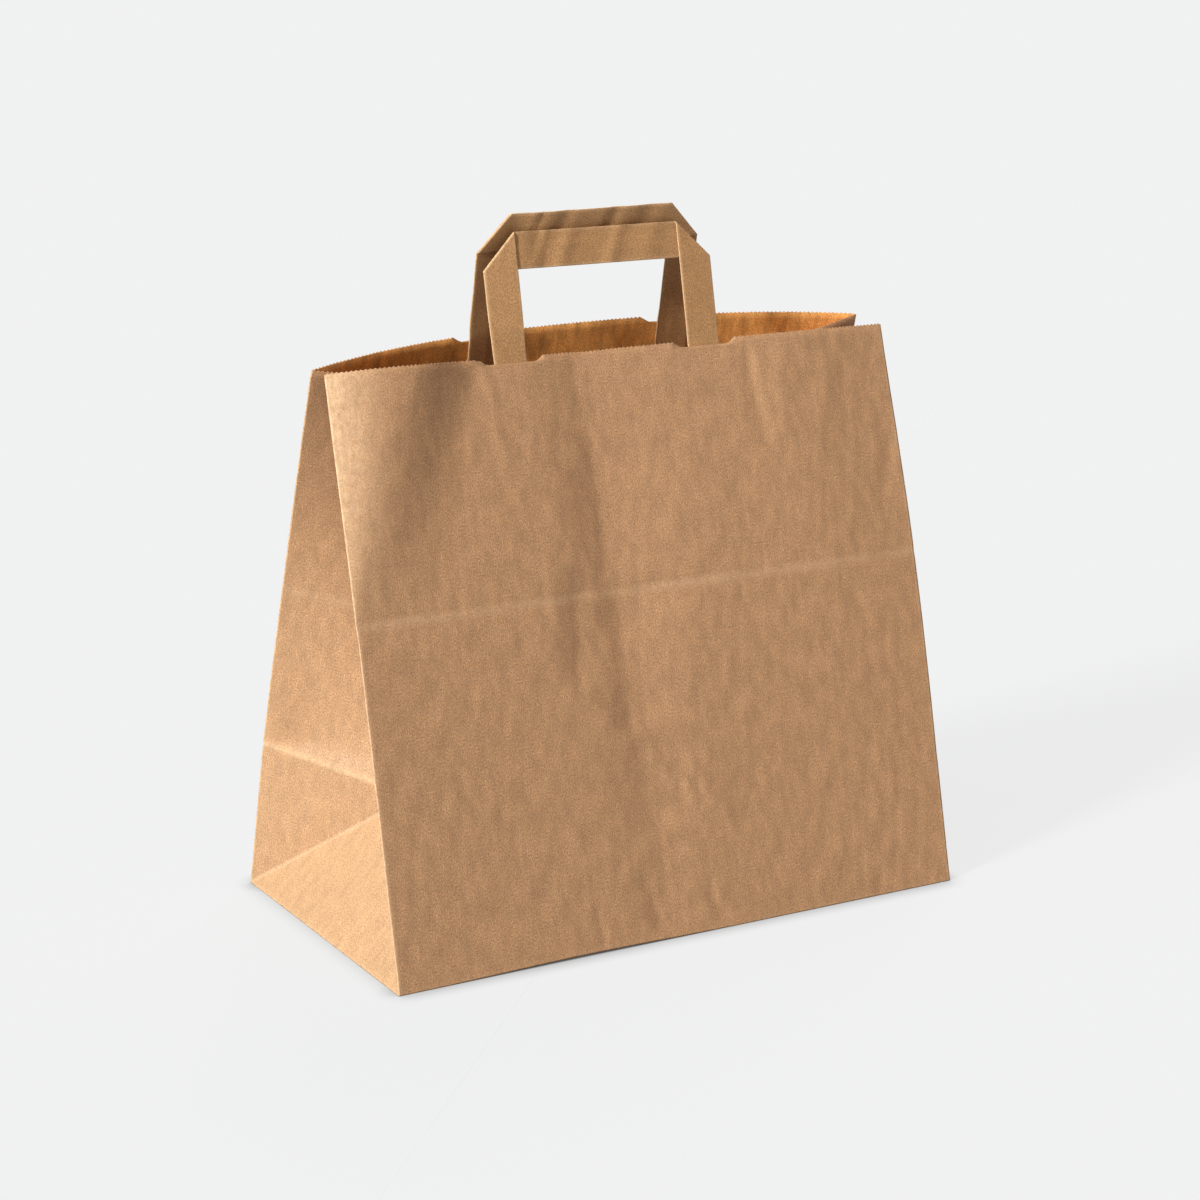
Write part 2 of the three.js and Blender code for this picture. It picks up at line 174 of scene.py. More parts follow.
def crest(offset, left, right):
    """1 at offset 0, falling softly to 0 at -left and at +right."""
    return smoothstep(share_left(offset, left, right))


def pointed(offset, left, right):
    """1 at offset 0, falling to 0 at -left and +right as a square of the share left, so the top is a
    crease."""
    return np.clip(share_left(offset, left, right), 0, 1) ** 2


def rounded_crest(offset, left, right):
    """A crest that is round on its left: 2s - s² of the share s, steepest where it starts."""
    start = np.clip(1 + offset / left, 0, 1)
    return np.where(offset < 0, start * (2 - start), crest(offset, left, right))


def creased_crest(offset, left, right):
    """A crest that is hollow on its left: the share to a power of 1.5, steepest where it ends in a crease."""
    start = np.clip(1 + offset / left, 0, 1)
    return np.where(offset < 0, start**1.5, crest(offset, left, right))


def mark(x, t, start, end, height, left, right, fade, profile=pointed):
    """A ridge of one height along a line on the paper: the profile of the distance to the line's left or
    right, times a soft step at each end of the line."""
    start = np.array(start, float)
    end = np.array(end, float)
    length = np.linalg.norm(end - start)
    direction = (end - start) / length
    reach = (x - start[0]) * direction[0] + (t - start[1]) * direction[1]
    offset = (x - start[0]) * direction[1] - (t - start[1]) * direction[0]
    ends = smoothstep(reach / fade) * smoothstep((length - reach) / fade)
    return height * profile(offset, left, right) * ends


COCKLE_HEIGHT = 0.055
COCKLE_ACROSS = 15
COCKLE_ALONG = 34
COCKLE_WAVES = 40


def cockle(x, t, seed):
    """Kraft paper never lies dead flat. A sum of sine waves with seeded directions and phases, each much
    longer up the paper than across it, scaled to a root mean square of the cockle height."""
    chance = np.random.default_rng(seed)
    lengths = COCKLE_ACROSS * np.exp(chance.uniform(-0.6, 0.9, COCKLE_WAVES))
    kx = 2 * math.pi / lengths * chance.choice([-1, 1], COCKLE_WAVES)
    kt = 2 * math.pi / (COCKLE_ALONG * np.exp(chance.uniform(-0.7, 0.9, COCKLE_WAVES)))
    phase = chance.uniform(0, 2 * math.pi, COCKLE_WAVES)
    size = np.sqrt(lengths)
    size = size / np.sqrt((size**2).sum() / 2)
    angles = x[..., None] * kx + t[..., None] * kt + phase
    return COCKLE_HEIGHT * (np.sin(angles) * size).sum(-1)


CALM_SIDE = 6
CALM_BASE = 8


def calm(from_side, t):
    """0 on a side fold and on the base fold and 1 a little way in, so that marks leave the folds straight."""
    return smoothstep(from_side / CALM_SIDE) * smoothstep(t / CALM_BASE)


# %% [markdown]
# ## The front panel's own marks
#
# The three large forms are the ones that the solid part has too: the curled corner, which stands a little
# further out here, the hollow and a slight belly on the right. The rest are small creases, read from the
# photograph as places on the flat sheet.

# %% Front relief
CORNER_ROLL_RISE = 8.8
CORNER_ROLL_WIDTH = 41
CORNER_ROLL_FADE = 45
CORNER_ROLL_LENGTH = 115
HOLLOW_DEPTH = 2.6
HOLLOW_OFFSET = -23
HOLLOW_RUN = 30
HOLLOW_RETURN = 75
HOLLOW_LENGTH = 190
RIGHT_BELLY_RISE = 2
RIGHT_BELLY_OFFSET = 105
RIGHT_BELLY_WIDTH = 60
RIGHT_BELLY_GROWTH = 2
NARROWEST_CREST = 1

# Each small mark: start, end, height, width to the left and to the right, fade at the ends, and profile
FRONT_MARKS = [
    ((-68, 236), (-73, 289), 0.55, 6, 2.5, 12),
    ((-90, 232), (-86, 262), 0.4, 5, 4, 9),
    ((80, 232), (74, 294), -0.9, 12, 6, 22),
    ((90, 225), (96, 294), 0.5, 9, 14, 22),
    ((-22, 128), (-20, 264), -1.5, 24, 50, 40, creased_crest),
    ((-47, 126), (-40, 190), -1.5, 13, 30, 14, creased_crest),
    ((-21, 98), (-16, 178), -1.7, 17, 40, 12, creased_crest),
    ((-12, 48), (-17, 106), -1.5, 26, 40, 14, creased_crest),
    ((-12, -6), (-12, 60), -0.9, 28, 26, 20, creased_crest),
    ((-17, 99), (-50, 131), 0.4, 5, 4, 8),
    ((14, 60), (4, 84), 0.6, 5, 4, 8),
    ((34, 44), (22, 74), 0.5, 5, 5, 9),
    ((4, 70), (-12, 98), 0.55, 6, 5, 8),
    ((26, 58), (8, 92), 0.5, 6, 6, 9),
    ((-47, 0), (-50, 26), -0.5, 4, 3, 6),
    ((-12, -2), (-22, 34), -0.7, 5, 3, 8),
    ((25, -2), (12, 26), -0.5, 5, 3, 8),
    ((128, 130), (116, 168), -0.4, 8, 5, 12),
    ((146, 196), (158, 238), -0.7, 11, 6, 14),
    ((108, 226), (128, 284), 0.5, 14, 9, 20),
]

PRESS_LINE_AT = PRESS_LINE_HEIGHT + 2
PRESS_LINE_STEP = 0.3
PRESS_LINE_WIDTH = 3.0
FRONT_SEED = 11


def front_relief(x, t):
    """How far the front sheet stands forward of the plane of its side edges, in millimetres."""
    from_rim = PANEL_HEIGHT - t
    roll = np.maximum(0, 1 - from_rim / CORNER_ROLL_LENGTH)
    roll_at = -HALF_WIDTH + CORNER_ROLL_WIDTH * roll
    corner = CORNER_ROLL_RISE * roll * rounded_crest(
        x - roll_at, CORNER_ROLL_WIDTH * roll + NARROWEST_CREST, CORNER_ROLL_FADE
    )
    hollow = HOLLOW_DEPTH * np.maximum(0, 1 - from_rim / HOLLOW_LENGTH)
    hollow = hollow * creased_crest(x - HOLLOW_OFFSET, HOLLOW_RUN, HOLLOW_RETURN)
    belly = RIGHT_BELLY_RISE * (t / PANEL_HEIGHT) ** RIGHT_BELLY_GROWTH
    belly = belly * crest(x - RIGHT_BELLY_OFFSET, RIGHT_BELLY_WIDTH, HALF_WIDTH - RIGHT_BELLY_OFFSET)
    small = sum(mark(x, t, *facts) for facts in FRONT_MARKS)
    press = -PRESS_LINE_STEP * pointed(t - PRESS_LINE_AT, PRESS_LINE_WIDTH, PRESS_LINE_WIDTH)
    loose = (small + cockle(x, t, FRONT_SEED)) * calm(HALF_WIDTH - np.abs(x), t)
    return corner - hollow + belly + press + loose


def front_depth(x, t):
    """y of the front sheet: its side edges' depth, less the relief, because forward is -Y."""
    return front_edge_depth(t) - front_relief(x, t)


# %% Back relief
BACK_MARKS = [
    ((-60, 150), (-66, 250), 0.5, 9, 9, 30),
    ((44, 120), (52, 214), -0.45, 8, 10, 26),
    ((96, 20), (84, 84), 0.4, 6, 8, 16),
]
LAP_AT = 134
LAP_STEP = 0.16
LAP_ROUND = 0.8
LAP_END = 4
BACK_SEED = 23


def back_depth(x, t):
    """y of the back sheet: a straight line between its side edges, plus a belly that grows up the paper,
    small marks, and the one-ply step of the glued lap near the right edge."""
    u = x / HALF_WIDTH
    left = back_edge_depth(t, LEFT_MOUTH_GAP)
    right = back_edge_depth(t, RIGHT_MOUTH_GAP)
    edge = left + (right - left) * (1 + u) / 2
    belly = BACK_BELLY * (1 - np.abs(u) ** BACK_BELLY_ROUNDNESS) * (t / PANEL_HEIGHT) ** BACK_BELLY_GROWTH
    small = sum(mark(x, t, *facts) for facts in BACK_MARKS)
    loose = (small + cockle(x, t, BACK_SEED)) * calm(HALF_WIDTH - np.abs(x), t)
    lap = LAP_STEP * smoothstep((x - LAP_AT) / LAP_ROUND) * smoothstep((HALF_WIDTH - x) / LAP_END)
    return edge + belly + loose + lap


# %% [markdown]
# ## Hanging the sheet
#
# With y known all over the paper, the other two places follow, because paper doesn't stretch. A step up the
# paper has a known length, so z grows by what the step's change in y leaves of it, as in a right triangle. A
# step across does the same for x. Running sums of those steps give the whole panel at once, and the sums
# across start from the panel's middle line.

# %% Hang a panel


def from_middle(steps, middle):
    """Running sum along the columns that is zero at the middle column."""
    sums = np.concatenate([np.zeros((1, steps.shape[1])), np.cumsum(steps, axis=0)])
    return sums - sums[middle]


def hang(depth, slip):
    """Places of a panel's grid points, as an array of columns by rows by three. Each step's rise is the
    root of its length squared less its change in y squared, and likewise across for x with y and z."""
    x, t = np.meshgrid(X, T, indexing="ij")
    y = depth(x, t)
    rise = np.sqrt(np.diff(T) ** 2 - np.diff(y, axis=1) ** 2)
    z = np.concatenate([np.zeros((len(X), 1)), np.cumsum(rise, axis=1)], axis=1)
    across = np.diff(X)[:, None] ** 2 - np.diff(y, axis=0) ** 2 - np.diff(z, axis=0) ** 2
    place_x = from_middle(np.sqrt(np.maximum(across, 0)), MIDDLE)
    place_x = place_x + slip * (T / PANEL_HEIGHT) ** BACK_SLIP_GROWTH
    return np.stack([place_x, y, z], axis=-1)


def normals_of(grid):
    """Unit normals of a grid: the cross product of its differences across and up."""
    across = np.gradient(grid, axis=0)
    up = np.gradient(grid, axis=1)
    normal = np.cross(across, up)
    return normal / np.linalg.norm(normal, axis=-1, keepdims=True)


front_sheet = hang(front_depth, 0)
back_sheet = hang(back_depth, BACK_SLIP)
print("front rim height", round(float(front_sheet[MIDDLE, -1, 2]), 1))
print("back rim height", round(float(back_sheet[MIDDLE, -1, 2]), 1))

# %% [markdown]
# ## Where the bag stands
#
# The part's frame has its box centred on the origin. The hung panels are centred on the base, so the whole
# bag is moved by the difference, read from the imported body's own box.

# %% Shift into the part's frame
body_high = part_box("bag_body")[1]
SHIFT = np.array([body_high.x / MILLIMETRE - HALF_WIDTH - PAPER / 2, 0, 0])
print("the bag is moved along x by", round(SHIFT[0], 2), "mm")

# %% [markdown]
# ## Gussets
#
# A gusset folds inwards along its middle. Its crease keeps half the bag's depth from both panels' edges, and
# going up the paper it keeps its own length too. Two circles in the plane between the panels give each point:
# one round the middle of the two edges, and one round the crease point below. Below half the depth, the paper
# is a flat triangle that leans in from the base, bounded by two diagonal creases at 45 degrees.

# %% The gusset's middle crease


def circle_crossing(centre, radius, other, reach, towards):
    """The crossing of two circles in the X-Z plane on the side of the target point: the foot on the line
    between the centres, and the root that is left of the radius, at right angles to it."""
    line = other - centre
    apart = np.linalg.norm(line)
    line = line / apart
    foot = (radius**2 - reach**2 + apart**2) / (2 * apart)
    aside = math.sqrt(max(0.0, radius**2 - foot**2))
    normal = np.array([-line[1], line[0]])
    side = math.copysign(1, normal @ (towards - centre))
    return centre + foot * line + side * aside * normal


def crease_line(front_edge, back_edge):
    """Crease points for every row from half the depth upwards, in order, from the one below."""
    centre = (front_edge + back_edge) / 2
    spread = (back_edge[:, 1] - front_edge[:, 1]) / 2
    radius = np.sqrt(HALF_DEPTH**2 - spread**2)
    plane = [0, 2]
    start = np.flatnonzero(T >= HALF_DEPTH - ROUNDING)[0]
    corner = front_edge[0]
    diagonal = math.sqrt(2 * HALF_DEPTH**2 - (centre[start, 1] - corner[1]) ** 2)
    inside = np.array([0, HALF_DEPTH])
    crease = [circle_crossing(centre[start, plane], radius[start], corner[plane], diagonal, inside)]
    for row in range(start + 1, len(T)):
        step = math.sqrt((T[row] - T[row - 1]) ** 2 - (centre[row, 1] - centre[row - 1, 1]) ** 2)
        above = crease[-1] + np.array([0, BAG_DEPTH])
        crease.append(circle_crossing(centre[row, plane], radius[row], crease[-1], step, above))
    flat = np.array(crease)
    return start, np.stack([flat[:, 0], centre[start:, 1], flat[:, 1]], axis=-1)


# %% [markdown]
# The two halves of a gusset aren't quite flat. Above its lower fold the paper dips in, which catches the
# light as a bright wedge, and the press line crosses the gusset as it crosses the panels.

# %% Gusset surface
GUSSET_DIP = 2.4
GUSSET_DIP_START = 3
GUSSET_DIP_SPREAD = 16
GUSSET_DIP_END = 75
GUSSET_BOW = 1.6
GUSSET_BOW_RISE = 60
CREASE_HELD = 0.15
EDGE_HELD = 0.3
GUSSET_SEED = 37


def gusset_relief(w, t):
    """How far the gusset stands outwards: a dip above the lower fold that is wider near the middle crease,
    and a slight bow of each half above it."""
    from_crease = np.abs(w - HALF_DEPTH) / HALF_DEPTH
    width = GUSSET_DIP_START + GUSSET_DIP_SPREAD * (1 - from_crease)
    above = t - HALF_DEPTH
    dip = smoothstep(above / width) * smoothstep((GUSSET_DIP_END - above) / GUSSET_DIP_END)
    held = smoothstep(from_crease / CREASE_HELD) * smoothstep((1 - from_crease) / EDGE_HELD)
    bow = smoothstep(above / GUSSET_BOW_RISE) * np.sin(math.pi * from_crease)
    waves = cockle(w, t, GUSSET_SEED) * held * smoothstep(t / CALM_BASE)
    return -GUSSET_DIP * dip * held + GUSSET_BOW * bow + waves


def gusset(side):
    """Places of one gusset's points, columns by rows by three. Above the diagonals a row runs straight from
    an edge to the crease, and below them the triangle is a plane through two base corners and the crease's
    foot."""
    edge = -1 if side > 0 else 0
    front_edge = front_sheet[edge]
    back_edge = back_sheet[edge]
    start, crease = crease_line(front_edge, back_edge)
    apex = crease[0]
    w, t = np.meshgrid(W, T, indexing="ij")
    to_edge = np.minimum(w, BAG_DEPTH - w)
    in_front = (w < HALF_DEPTH)[..., None]
    edge_points = np.where(in_front, front_edge[None], back_edge[None])
    corner = np.where(in_front, front_edge[0], back_edge[0])
    on_diagonal = corner + (apex - corner) * (np.minimum(t, HALF_DEPTH) / HALF_DEPTH)[..., None]
    on_crease = on_diagonal.copy()
    on_crease[:, start:] = crease[None]
    share = to_edge / np.clip(t, ROUNDING, HALF_DEPTH)
    above = edge_points + (on_crease - edge_points) * np.clip(share, 0, 1)[..., None]
    base = front_edge[0] + (back_edge[0] - front_edge[0]) * (w / BAG_DEPTH)[..., None]
    middle = (front_edge[0] + back_edge[0]) / 2
    below = base + (apex - middle) * (t / HALF_DEPTH)[..., None]
    grid = np.where((t < to_edge)[..., None], below, above)
    outward = normals_of(grid) * side
    return grid + outward * gusset_relief(w, t)[..., None]


right_gusset = gusset(1)
left_gusset = gusset(-1)
print("left gusset crease at the rim", np.round(left_gusset[len(W) // 2, -1], 1))

# %% [markdown]
# ## Rim
#
# Round each handle leg the rim is cut a little lower, with short sloped ends, and the rest is cut with teeth.

# %% Rim cut
HANDLE_WIDTH = 128
STRIP_WIDTH = 18
LEG_OFFSET = (HANDLE_WIDTH - STRIP_WIDTH) / 2
FRONT_HANDLE_SHIFT = -3.5
BACK_HANDLE_SHIFT = 1.6
NOTCH_WIDTH = 28
NOTCH_DEPTH = 2.4
NOTCH_SLOPE = 3
TOOTH_HEIGHT = 0.65
TOOTH_LEAST = 1.2


def notch_cut(x, shift):
    """Length cut from the rim: the notch depth near a leg, falling to nothing over the slope."""
    from_leg = np.minimum(np.abs(x - shift - LEG_OFFSET), np.abs(x - shift + LEG_OFFSET))
    return NOTCH_DEPTH * (1 - np.clip((from_leg - NOTCH_WIDTH / 2) / NOTCH_SLOPE, 0, 1))


def cut_rim(sheet, shift):
    """The sheet with its top row moved down the paper by the notch's cut."""
    trimmed = sheet.copy()
    share = (notch_cut(X, shift) / (T[-1] - T[-2]))[:, None]
    trimmed[:, -1] = sheet[:, -1] + (sheet[:, -2] - sheet[:, -1]) * share
    return trimmed


# %% [markdown]
# ## Base
#
# The folded bottom isn't perfectly flat: the front fold stands a little off the table left of its middle,
# which leaves a thin dark line under it. Inside, the floor is one flat ply. Underneath, two end flaps come
# first, then the back flap, and the front flap is glued over it all.

# %% Base lift and floor
LIFT_HEIGHT = 1.2
LIFT_AT = -58
LIFT_WIDTH = 92
LIFT_REACH = 30
FLOOR_HEIGHT = 0.75
FLOOR_ROWS = 7
FLOOR_FOLD_INSET = 0.9


def base_lift(x, y):
    """How far the base stands off the table: a bump along the front fold that fades towards the back."""
    bump = crest(x - LIFT_AT, LIFT_WIDTH, LIFT_WIDTH)
    return LIFT_HEIGHT * bump * smoothstep(1 - (y + HALF_DEPTH) / LIFT_REACH)


def ring_rows():
    """The bag's walls as closed rings of points, rows by columns by three: front panel to the right, right
    gusset to the back, back panel to the left, left gusset to the front."""
    front = cut_rim(front_sheet, FRONT_HANDLE_SHIFT)
    back = cut_rim(back_sheet, BACK_HANDLE_SHIFT)[::-1]
    ring = np.concatenate([front, right_gusset, back, left_gusset[::-1]]).swapaxes(0, 1)
    ring[0, :, 2] = PAPER / 2
    near_base = smoothstep(1 - T / LIFT_REACH)[:, None]
    ring[..., 2] += base_lift(ring[..., 0], ring[..., 1]) * near_base
    return ring


def floor_rows(base_ring):
    """Rings from the middle of the floor outwards: the base ring scaled towards the middle, at floor
    height."""
    inset = 1 - FLOOR_FOLD_INSET / np.array([HALF_WIDTH, HALF_DEPTH])
    shares = np.linspace(0, 1, FLOOR_ROWS + 1)[1:, None, None]
    flat = base_ring[None, :, :2] * inset * shares
    height = FLOOR_HEIGHT + base_lift(flat[..., 0], flat[..., 1])
    return np.concatenate([flat, height[..., None]], axis=-1)


# %% [markdown]
# ## Meshes from grids
#
# A grid of points becomes a mesh of quads, made as whole arrays. The gusset's cells on a diagonal crease are
# split along that crease, so that the crease is a straight line. Every mesh carries a UV map named Paper with
# the place on the flat sheet in metres, so that the fibres of the paper run up the sheet wherever it folds,
# and an attribute that is 1 on a rubbed fold and also carries a painted highlight on the front's curled
# corner.

# %% Mesh helpers


def quads(rows, columns, closed):
    """Corner numbers of a grid's quads, row by row, for points numbered row * columns + column."""
    row = np.arange(rows - 1)[:, None]
    column = np.arange(columns if closed else columns - 1)[None, :]
    after = (column + 1) % columns
    corners = [row * columns + column, row * columns + after, (row + 1) * columns + after]
    corners.append((row + 1) * columns + column)
    return np.stack(np.broadcast_arrays(*corners), axis=-1).reshape(-1, 4)


def make_mesh(name, points, faces, paper_places, wear_and_highlight):
    """An object from points in millimetres and lists of faces, moved into the part's frame, with its UV map
    and its attribute of fold wear and painted highlight set from arrays."""
    mesh = bpy.data.meshes.new(name)
    placed = (points + SHIFT) * MILLIMETRE
    mesh.from_pydata(placed.tolist(), [], faces)
    corner_vertex = np.empty(len(mesh.loops), np.int32)
    mesh.loops.foreach_get("vertex_index", corner_vertex)
    uv = mesh.uv_layers.new(name="Paper")
    uv.uv.foreach_set("vector", (paper_places[corner_vertex] * MILLIMETRE).astype(np.float32).ravel())
    wear_and_highlight_level = mesh.attributes.new("wear_and_highlight", "FLOAT", "POINT")
    wear_and_highlight_level.data.foreach_set("value", wear_and_highlight.astype(np.float32))
    mesh.shade_smooth()
    made = bpy.data.objects.new(name, mesh)
    bpy.context.scene.collection.objects.link(made)
    return made


def thicken(made, thickness, inner_material=0):
    """Paper thickness, half to each side of the surface."""
    solid = made.modifiers.new("paper", "SOLIDIFY")
    solid.thickness = thickness * MILLIMETRE
    solid.offset = 0
    solid.material_offset = inner_material


# %% [markdown]
# ## The bag body
#
# The rings of the walls and the floor are one surface, closed in the middle of the floor, and Solidify
# gives it the paper's thickness. The flaps under the base are separate surfaces in the same mesh, one ply
# above the other, because the sheet turns under at each of the four base folds.

# %% Flaps under the base
FLAP_LAP = 20
FLAP_CELLS = 40
FLAP_ROWS = 10
PLY = 0.22


def flap(near, far, height):
    """A four-sided ply between a near and a far edge, each given by its two end points: a straight blend
    between the edges, at one height above the table plus the base's lift."""
    across = np.linspace(0, 1, FLAP_CELLS + 1)[None, :, None]
    out = np.linspace(0, 1, FLAP_ROWS + 1)[:, None, None]
    flat = (near[0] + (near[1] - near[0]) * across) * (1 - out) + (far[0] + (far[1] - far[0]) * across) * out
    rise = height + base_lift(flat[..., 0], flat[..., 1])
    return np.concatenate([flat, rise[..., None]], axis=-1)


def base_flaps():
    """Two end flaps, the back flap above them as seen from below, and the front flap outermost. The two long
    flaps have ends cut at 45 degrees, and they lap over each other by the flap lap."""
    seam = FLAP_LAP / 2
    wide = HALF_WIDTH - FOLD_MARGIN
    deep = HALF_DEPTH - FOLD_MARGIN
    short = HALF_WIDTH - HALF_DEPTH - seam
    reach = HALF_WIDTH - HALF_DEPTH + seam
    right = np.array([[[reach, seam], [reach, -seam]], [[wide, deep], [wide, -deep]]])
    back = np.array([[[-short, -seam], [short, -seam]], [[-wide, deep], [wide, deep]]])
    plies = ((right, 2), (-right, 2), (back, 1), (-back, 0))
    return [flap(*edges, PAPER / 2 + plies_below * PLY) for edges, plies_below in plies]


# %% [markdown]
# The folds rub lighter than the paper around them. Wear is drawn on the four long folds, the gussets' creases
# with their diagonals, the press line and the base folds. The front's curled corner is made paler too, as a
# painted highlight where the light grazes it.

# %% Wear on the folds and a painted corner highlight
# Each line's wear: how strong it is on the line, and the distance from the line where it ends
FOLD_WEAR = (0.9, 1.6)
PRESS_WEAR = (0.6, 2.6)
BASE_WEAR = (0.35, 2.5)
GUSSET_CREASE_WEAR = (0.75, 1.6)
GUSSET_FOLD_WEAR = (0.75, 2.4)
DIAGONAL_WEAR = (0.2625, 2.3)
GUSSET_PRESS_WEAR = (0.3, 4)
GUSSET_BASE_WEAR = (0.375, 2.5)
PRESS_PATCHINESS = 0.25
PRESS_WAVE = 17
PRESS_SLOW_WAVE = 41
# Painted highlight on the curled corner: its paleness, width from the left edge, start and rise up the paper
CORNER_PAINTED_HIGHLIGHT = 0.9
CORNER_HIGHLIGHT_WIDTH = 34
CORNER_HIGHLIGHT_FROM = 150
CORNER_HIGHLIGHT_RISE = 110
TOOTH_WEAR = 0.4


def line_wear(distance, strength, width):
    """The strength on a line, falling straight to 0 at one width from it."""
    return strength * np.clip(1 - np.abs(distance) / width, 0, 1)


def panel_wear_and_highlight(x, t):
    """Wear on a panel: side folds, press line with a slow change of strength and base fold, and a painted
    highlight on the curled corner.
    """
    waves = np.sin(x / PRESS_WAVE) * np.sin(x / PRESS_SLOW_WAVE + 1)
    press = line_wear(t - PRESS_LINE_AT, *PRESS_WEAR) * (1 - PRESS_PATCHINESS + PRESS_PATCHINESS * waves)
    # Painted highlight: the curled corner made paler near the left edge and the rim, where the light grazes
    # it
    high = smoothstep((t - CORNER_HIGHLIGHT_FROM) / CORNER_HIGHLIGHT_RISE)
    corner = CORNER_PAINTED_HIGHLIGHT * high * smoothstep(1 - (HALF_WIDTH + x) / CORNER_HIGHLIGHT_WIDTH)
    side = line_wear(HALF_WIDTH - np.abs(x), *FOLD_WEAR)
    return np.maximum.reduce([side, press, corner, line_wear(t, *BASE_WEAR)])


def gusset_wear(w, t):
    """Wear on a gusset: middle crease, the two diagonals, lower fold, press line and base fold."""
    to_edge = np.minimum(w, BAG_DEPTH - w)
    middle = np.where(t > HALF_DEPTH, line_wear(HALF_DEPTH - to_edge, *GUSSET_CREASE_WEAR), 0)
    diagonal = np.where(t < HALF_DEPTH, line_wear(t - to_edge, *DIAGONAL_WEAR), 0)
    fold = line_wear(t - HALF_DEPTH, *GUSSET_FOLD_WEAR)
    press = line_wear(t - PRESS_LINE_AT, *GUSSET_PRESS_WEAR)
    return np.maximum.reduce([middle, diagonal, fold, press, line_wear(t, *GUSSET_BASE_WEAR)])


# %% Body mesh


def body_places():
    """Place of each wall point on the flat sheet: round the bag, and up the paper."""
    half_way = np.concatenate([X + HALF_WIDTH, BAG_WIDTH + W])
    around = np.concatenate([half_way, half_way + BAG_WIDTH + BAG_DEPTH])
    return np.stack(np.meshgrid(around, T), axis=-1)


def body_wear_and_highlight():
    """Wear of each wall point, with the painted highlight of the curled corner, in the same order as the
    rings.
    """
    on_panel = panel_wear_and_highlight(*np.meshgrid(X, T))
    on_gusset = gusset_wear(*np.meshgrid(W, T))
    return np.concatenate([on_panel, on_gusset, on_panel[:, ::-1], on_gusset[:, ::-1]], axis=1)


def split_gusset_cells(faces, first_wall_row, columns):
    """Cuts every gusset cell below the lower fold into two triangles along the diagonal that runs up towards
    the gusset's middle, where its crease runs. Returns the cut faces and those that stay quads."""
    row = faces[:, 0] // columns - first_wall_row
    column = faces[:, 0] % columns
    low = (row >= 0) & (row < np.count_nonzero(T < HALF_DEPTH - ROUNDING))
    within = column % (len(X) + len(W)) - len(X) + 1
    chosen = low & (within >= 0)
    rising = within < (len(W) + 1) // 2
    up = faces[chosen & rising]
    down = faces[chosen & ~rising]
    pieces = [up[:, [0, 1, 2]], up[:, [0, 2, 3]], down[:, [0, 1, 3]], down[:, [1, 2, 3]]]
    return np.concatenate(pieces), faces[~chosen]


def teeth(rim, first_number, cut, around):
    """One triangle on each rim cell that is a full tooth wide and outside the notches: a point above the
    middle of the cell, along the paper."""
    columns = len(rim)
    after = (np.arange(columns) + 1) % columns
    width = np.linalg.norm(rim[after] - rim, axis=1)
    chosen = np.flatnonzero((width > TOOTH_LEAST) & (cut + cut[after] == 0))
    tips = (rim[chosen] + rim[after[chosen]]) / 2 + np.array([0, 0, TOOTH_HEIGHT])
    numbers = first_number + np.arange(len(chosen))
    base = first_number - columns
    faces = np.stack([base + chosen, base + after[chosen], numbers], axis=-1)
    places = np.stack([around[chosen], np.full(len(chosen), PANEL_HEIGHT + TOOTH_HEIGHT)], axis=-1)
    return tips, faces, places


def bag_body():
    """The whole body: the middle of the floor, floor rings, wall rings, teeth and base flaps in one mesh."""
    walls = ring_rows()
    floor = floor_rows(walls[0])
    columns = walls.shape[1]
    rings = np.concatenate([floor, walls])
    points = [np.array([[0, 0, FLOOR_HEIGHT]]), rings.reshape(-1, 3)]
    cells = quads(len(rings), columns, True)
    cut_cells, whole_cells = split_gusset_cells(cells, len(floor), columns)
    first = np.arange(columns)
    pole = np.stack([np.full(columns, -1), (first + 1) % columns, first], axis=-1)
    wall_places = body_places()
    floor_middle = np.array([HALF_WIDTH, -BAG_DEPTH])
    floor_places = floor[..., :2] + floor_middle
    places = [floor_middle[None], floor_places.reshape(-1, 2), wall_places.reshape(-1, 2)]
    wear_and_highlight = [np.zeros(1 + floor_places.shape[0] * columns), body_wear_and_highlight().ravel()]

    no_cut = np.zeros(len(W))
    cuts = [notch_cut(X, FRONT_HANDLE_SHIFT), no_cut, notch_cut(X, BACK_HANDLE_SHIFT)[::-1], no_cut]
    around = wall_places[-1, :, 0]
    tips, tip_faces, tip_places = teeth(walls[-1], len(rings) * columns, np.concatenate(cuts), around)
    points.append(tips)
    places.append(tip_places)
    wear_and_highlight.append(np.full(len(tips), TOOTH_WEAR))
    faces = [corners + 1 for corners in (pole, whole_cells, cut_cells, tip_faces)]

    count = sum(len(part) for part in points)
    for ply in base_flaps():
        rows, across = ply.shape[:2]
        faces.append(quads(rows, across, False) + count)
        points.append(ply.reshape(-1, 3))
        places.append(ply[..., :2].reshape(-1, 2) + floor_middle)
        wear_and_highlight.append(np.zeros(rows * across))
        count += rows * across
    face_list = [corners for part in faces for corners in part.tolist()]
    points, places, wear_and_highlight = (np.concatenate(part) for part in (points, places, wear_and_highlight))
    return make_mesh("bag_paper", points, face_list, places, wear_and_highlight)


body = bag_body()
# The inner side of the paper takes the second material, the inside colour painted bright as bounce light.
thicken(body, PAPER, inner_material=1)
print("body faces", len(body.data.polygons))

# %% [markdown]
# ## Handles
#
# A handle is one strip of paper folded flat several times over. Each leg rises from the panel to a mitred
# fold at 45 degrees, and the strip comes back behind itself as the crossbar. The strip is carried along its
# own flat length, and a fold rolls everything past the fold line round a small radius. The rows of the
# strip turn from straight across to parallel with the fold as they come near it, so that the fold is a
# clean line.

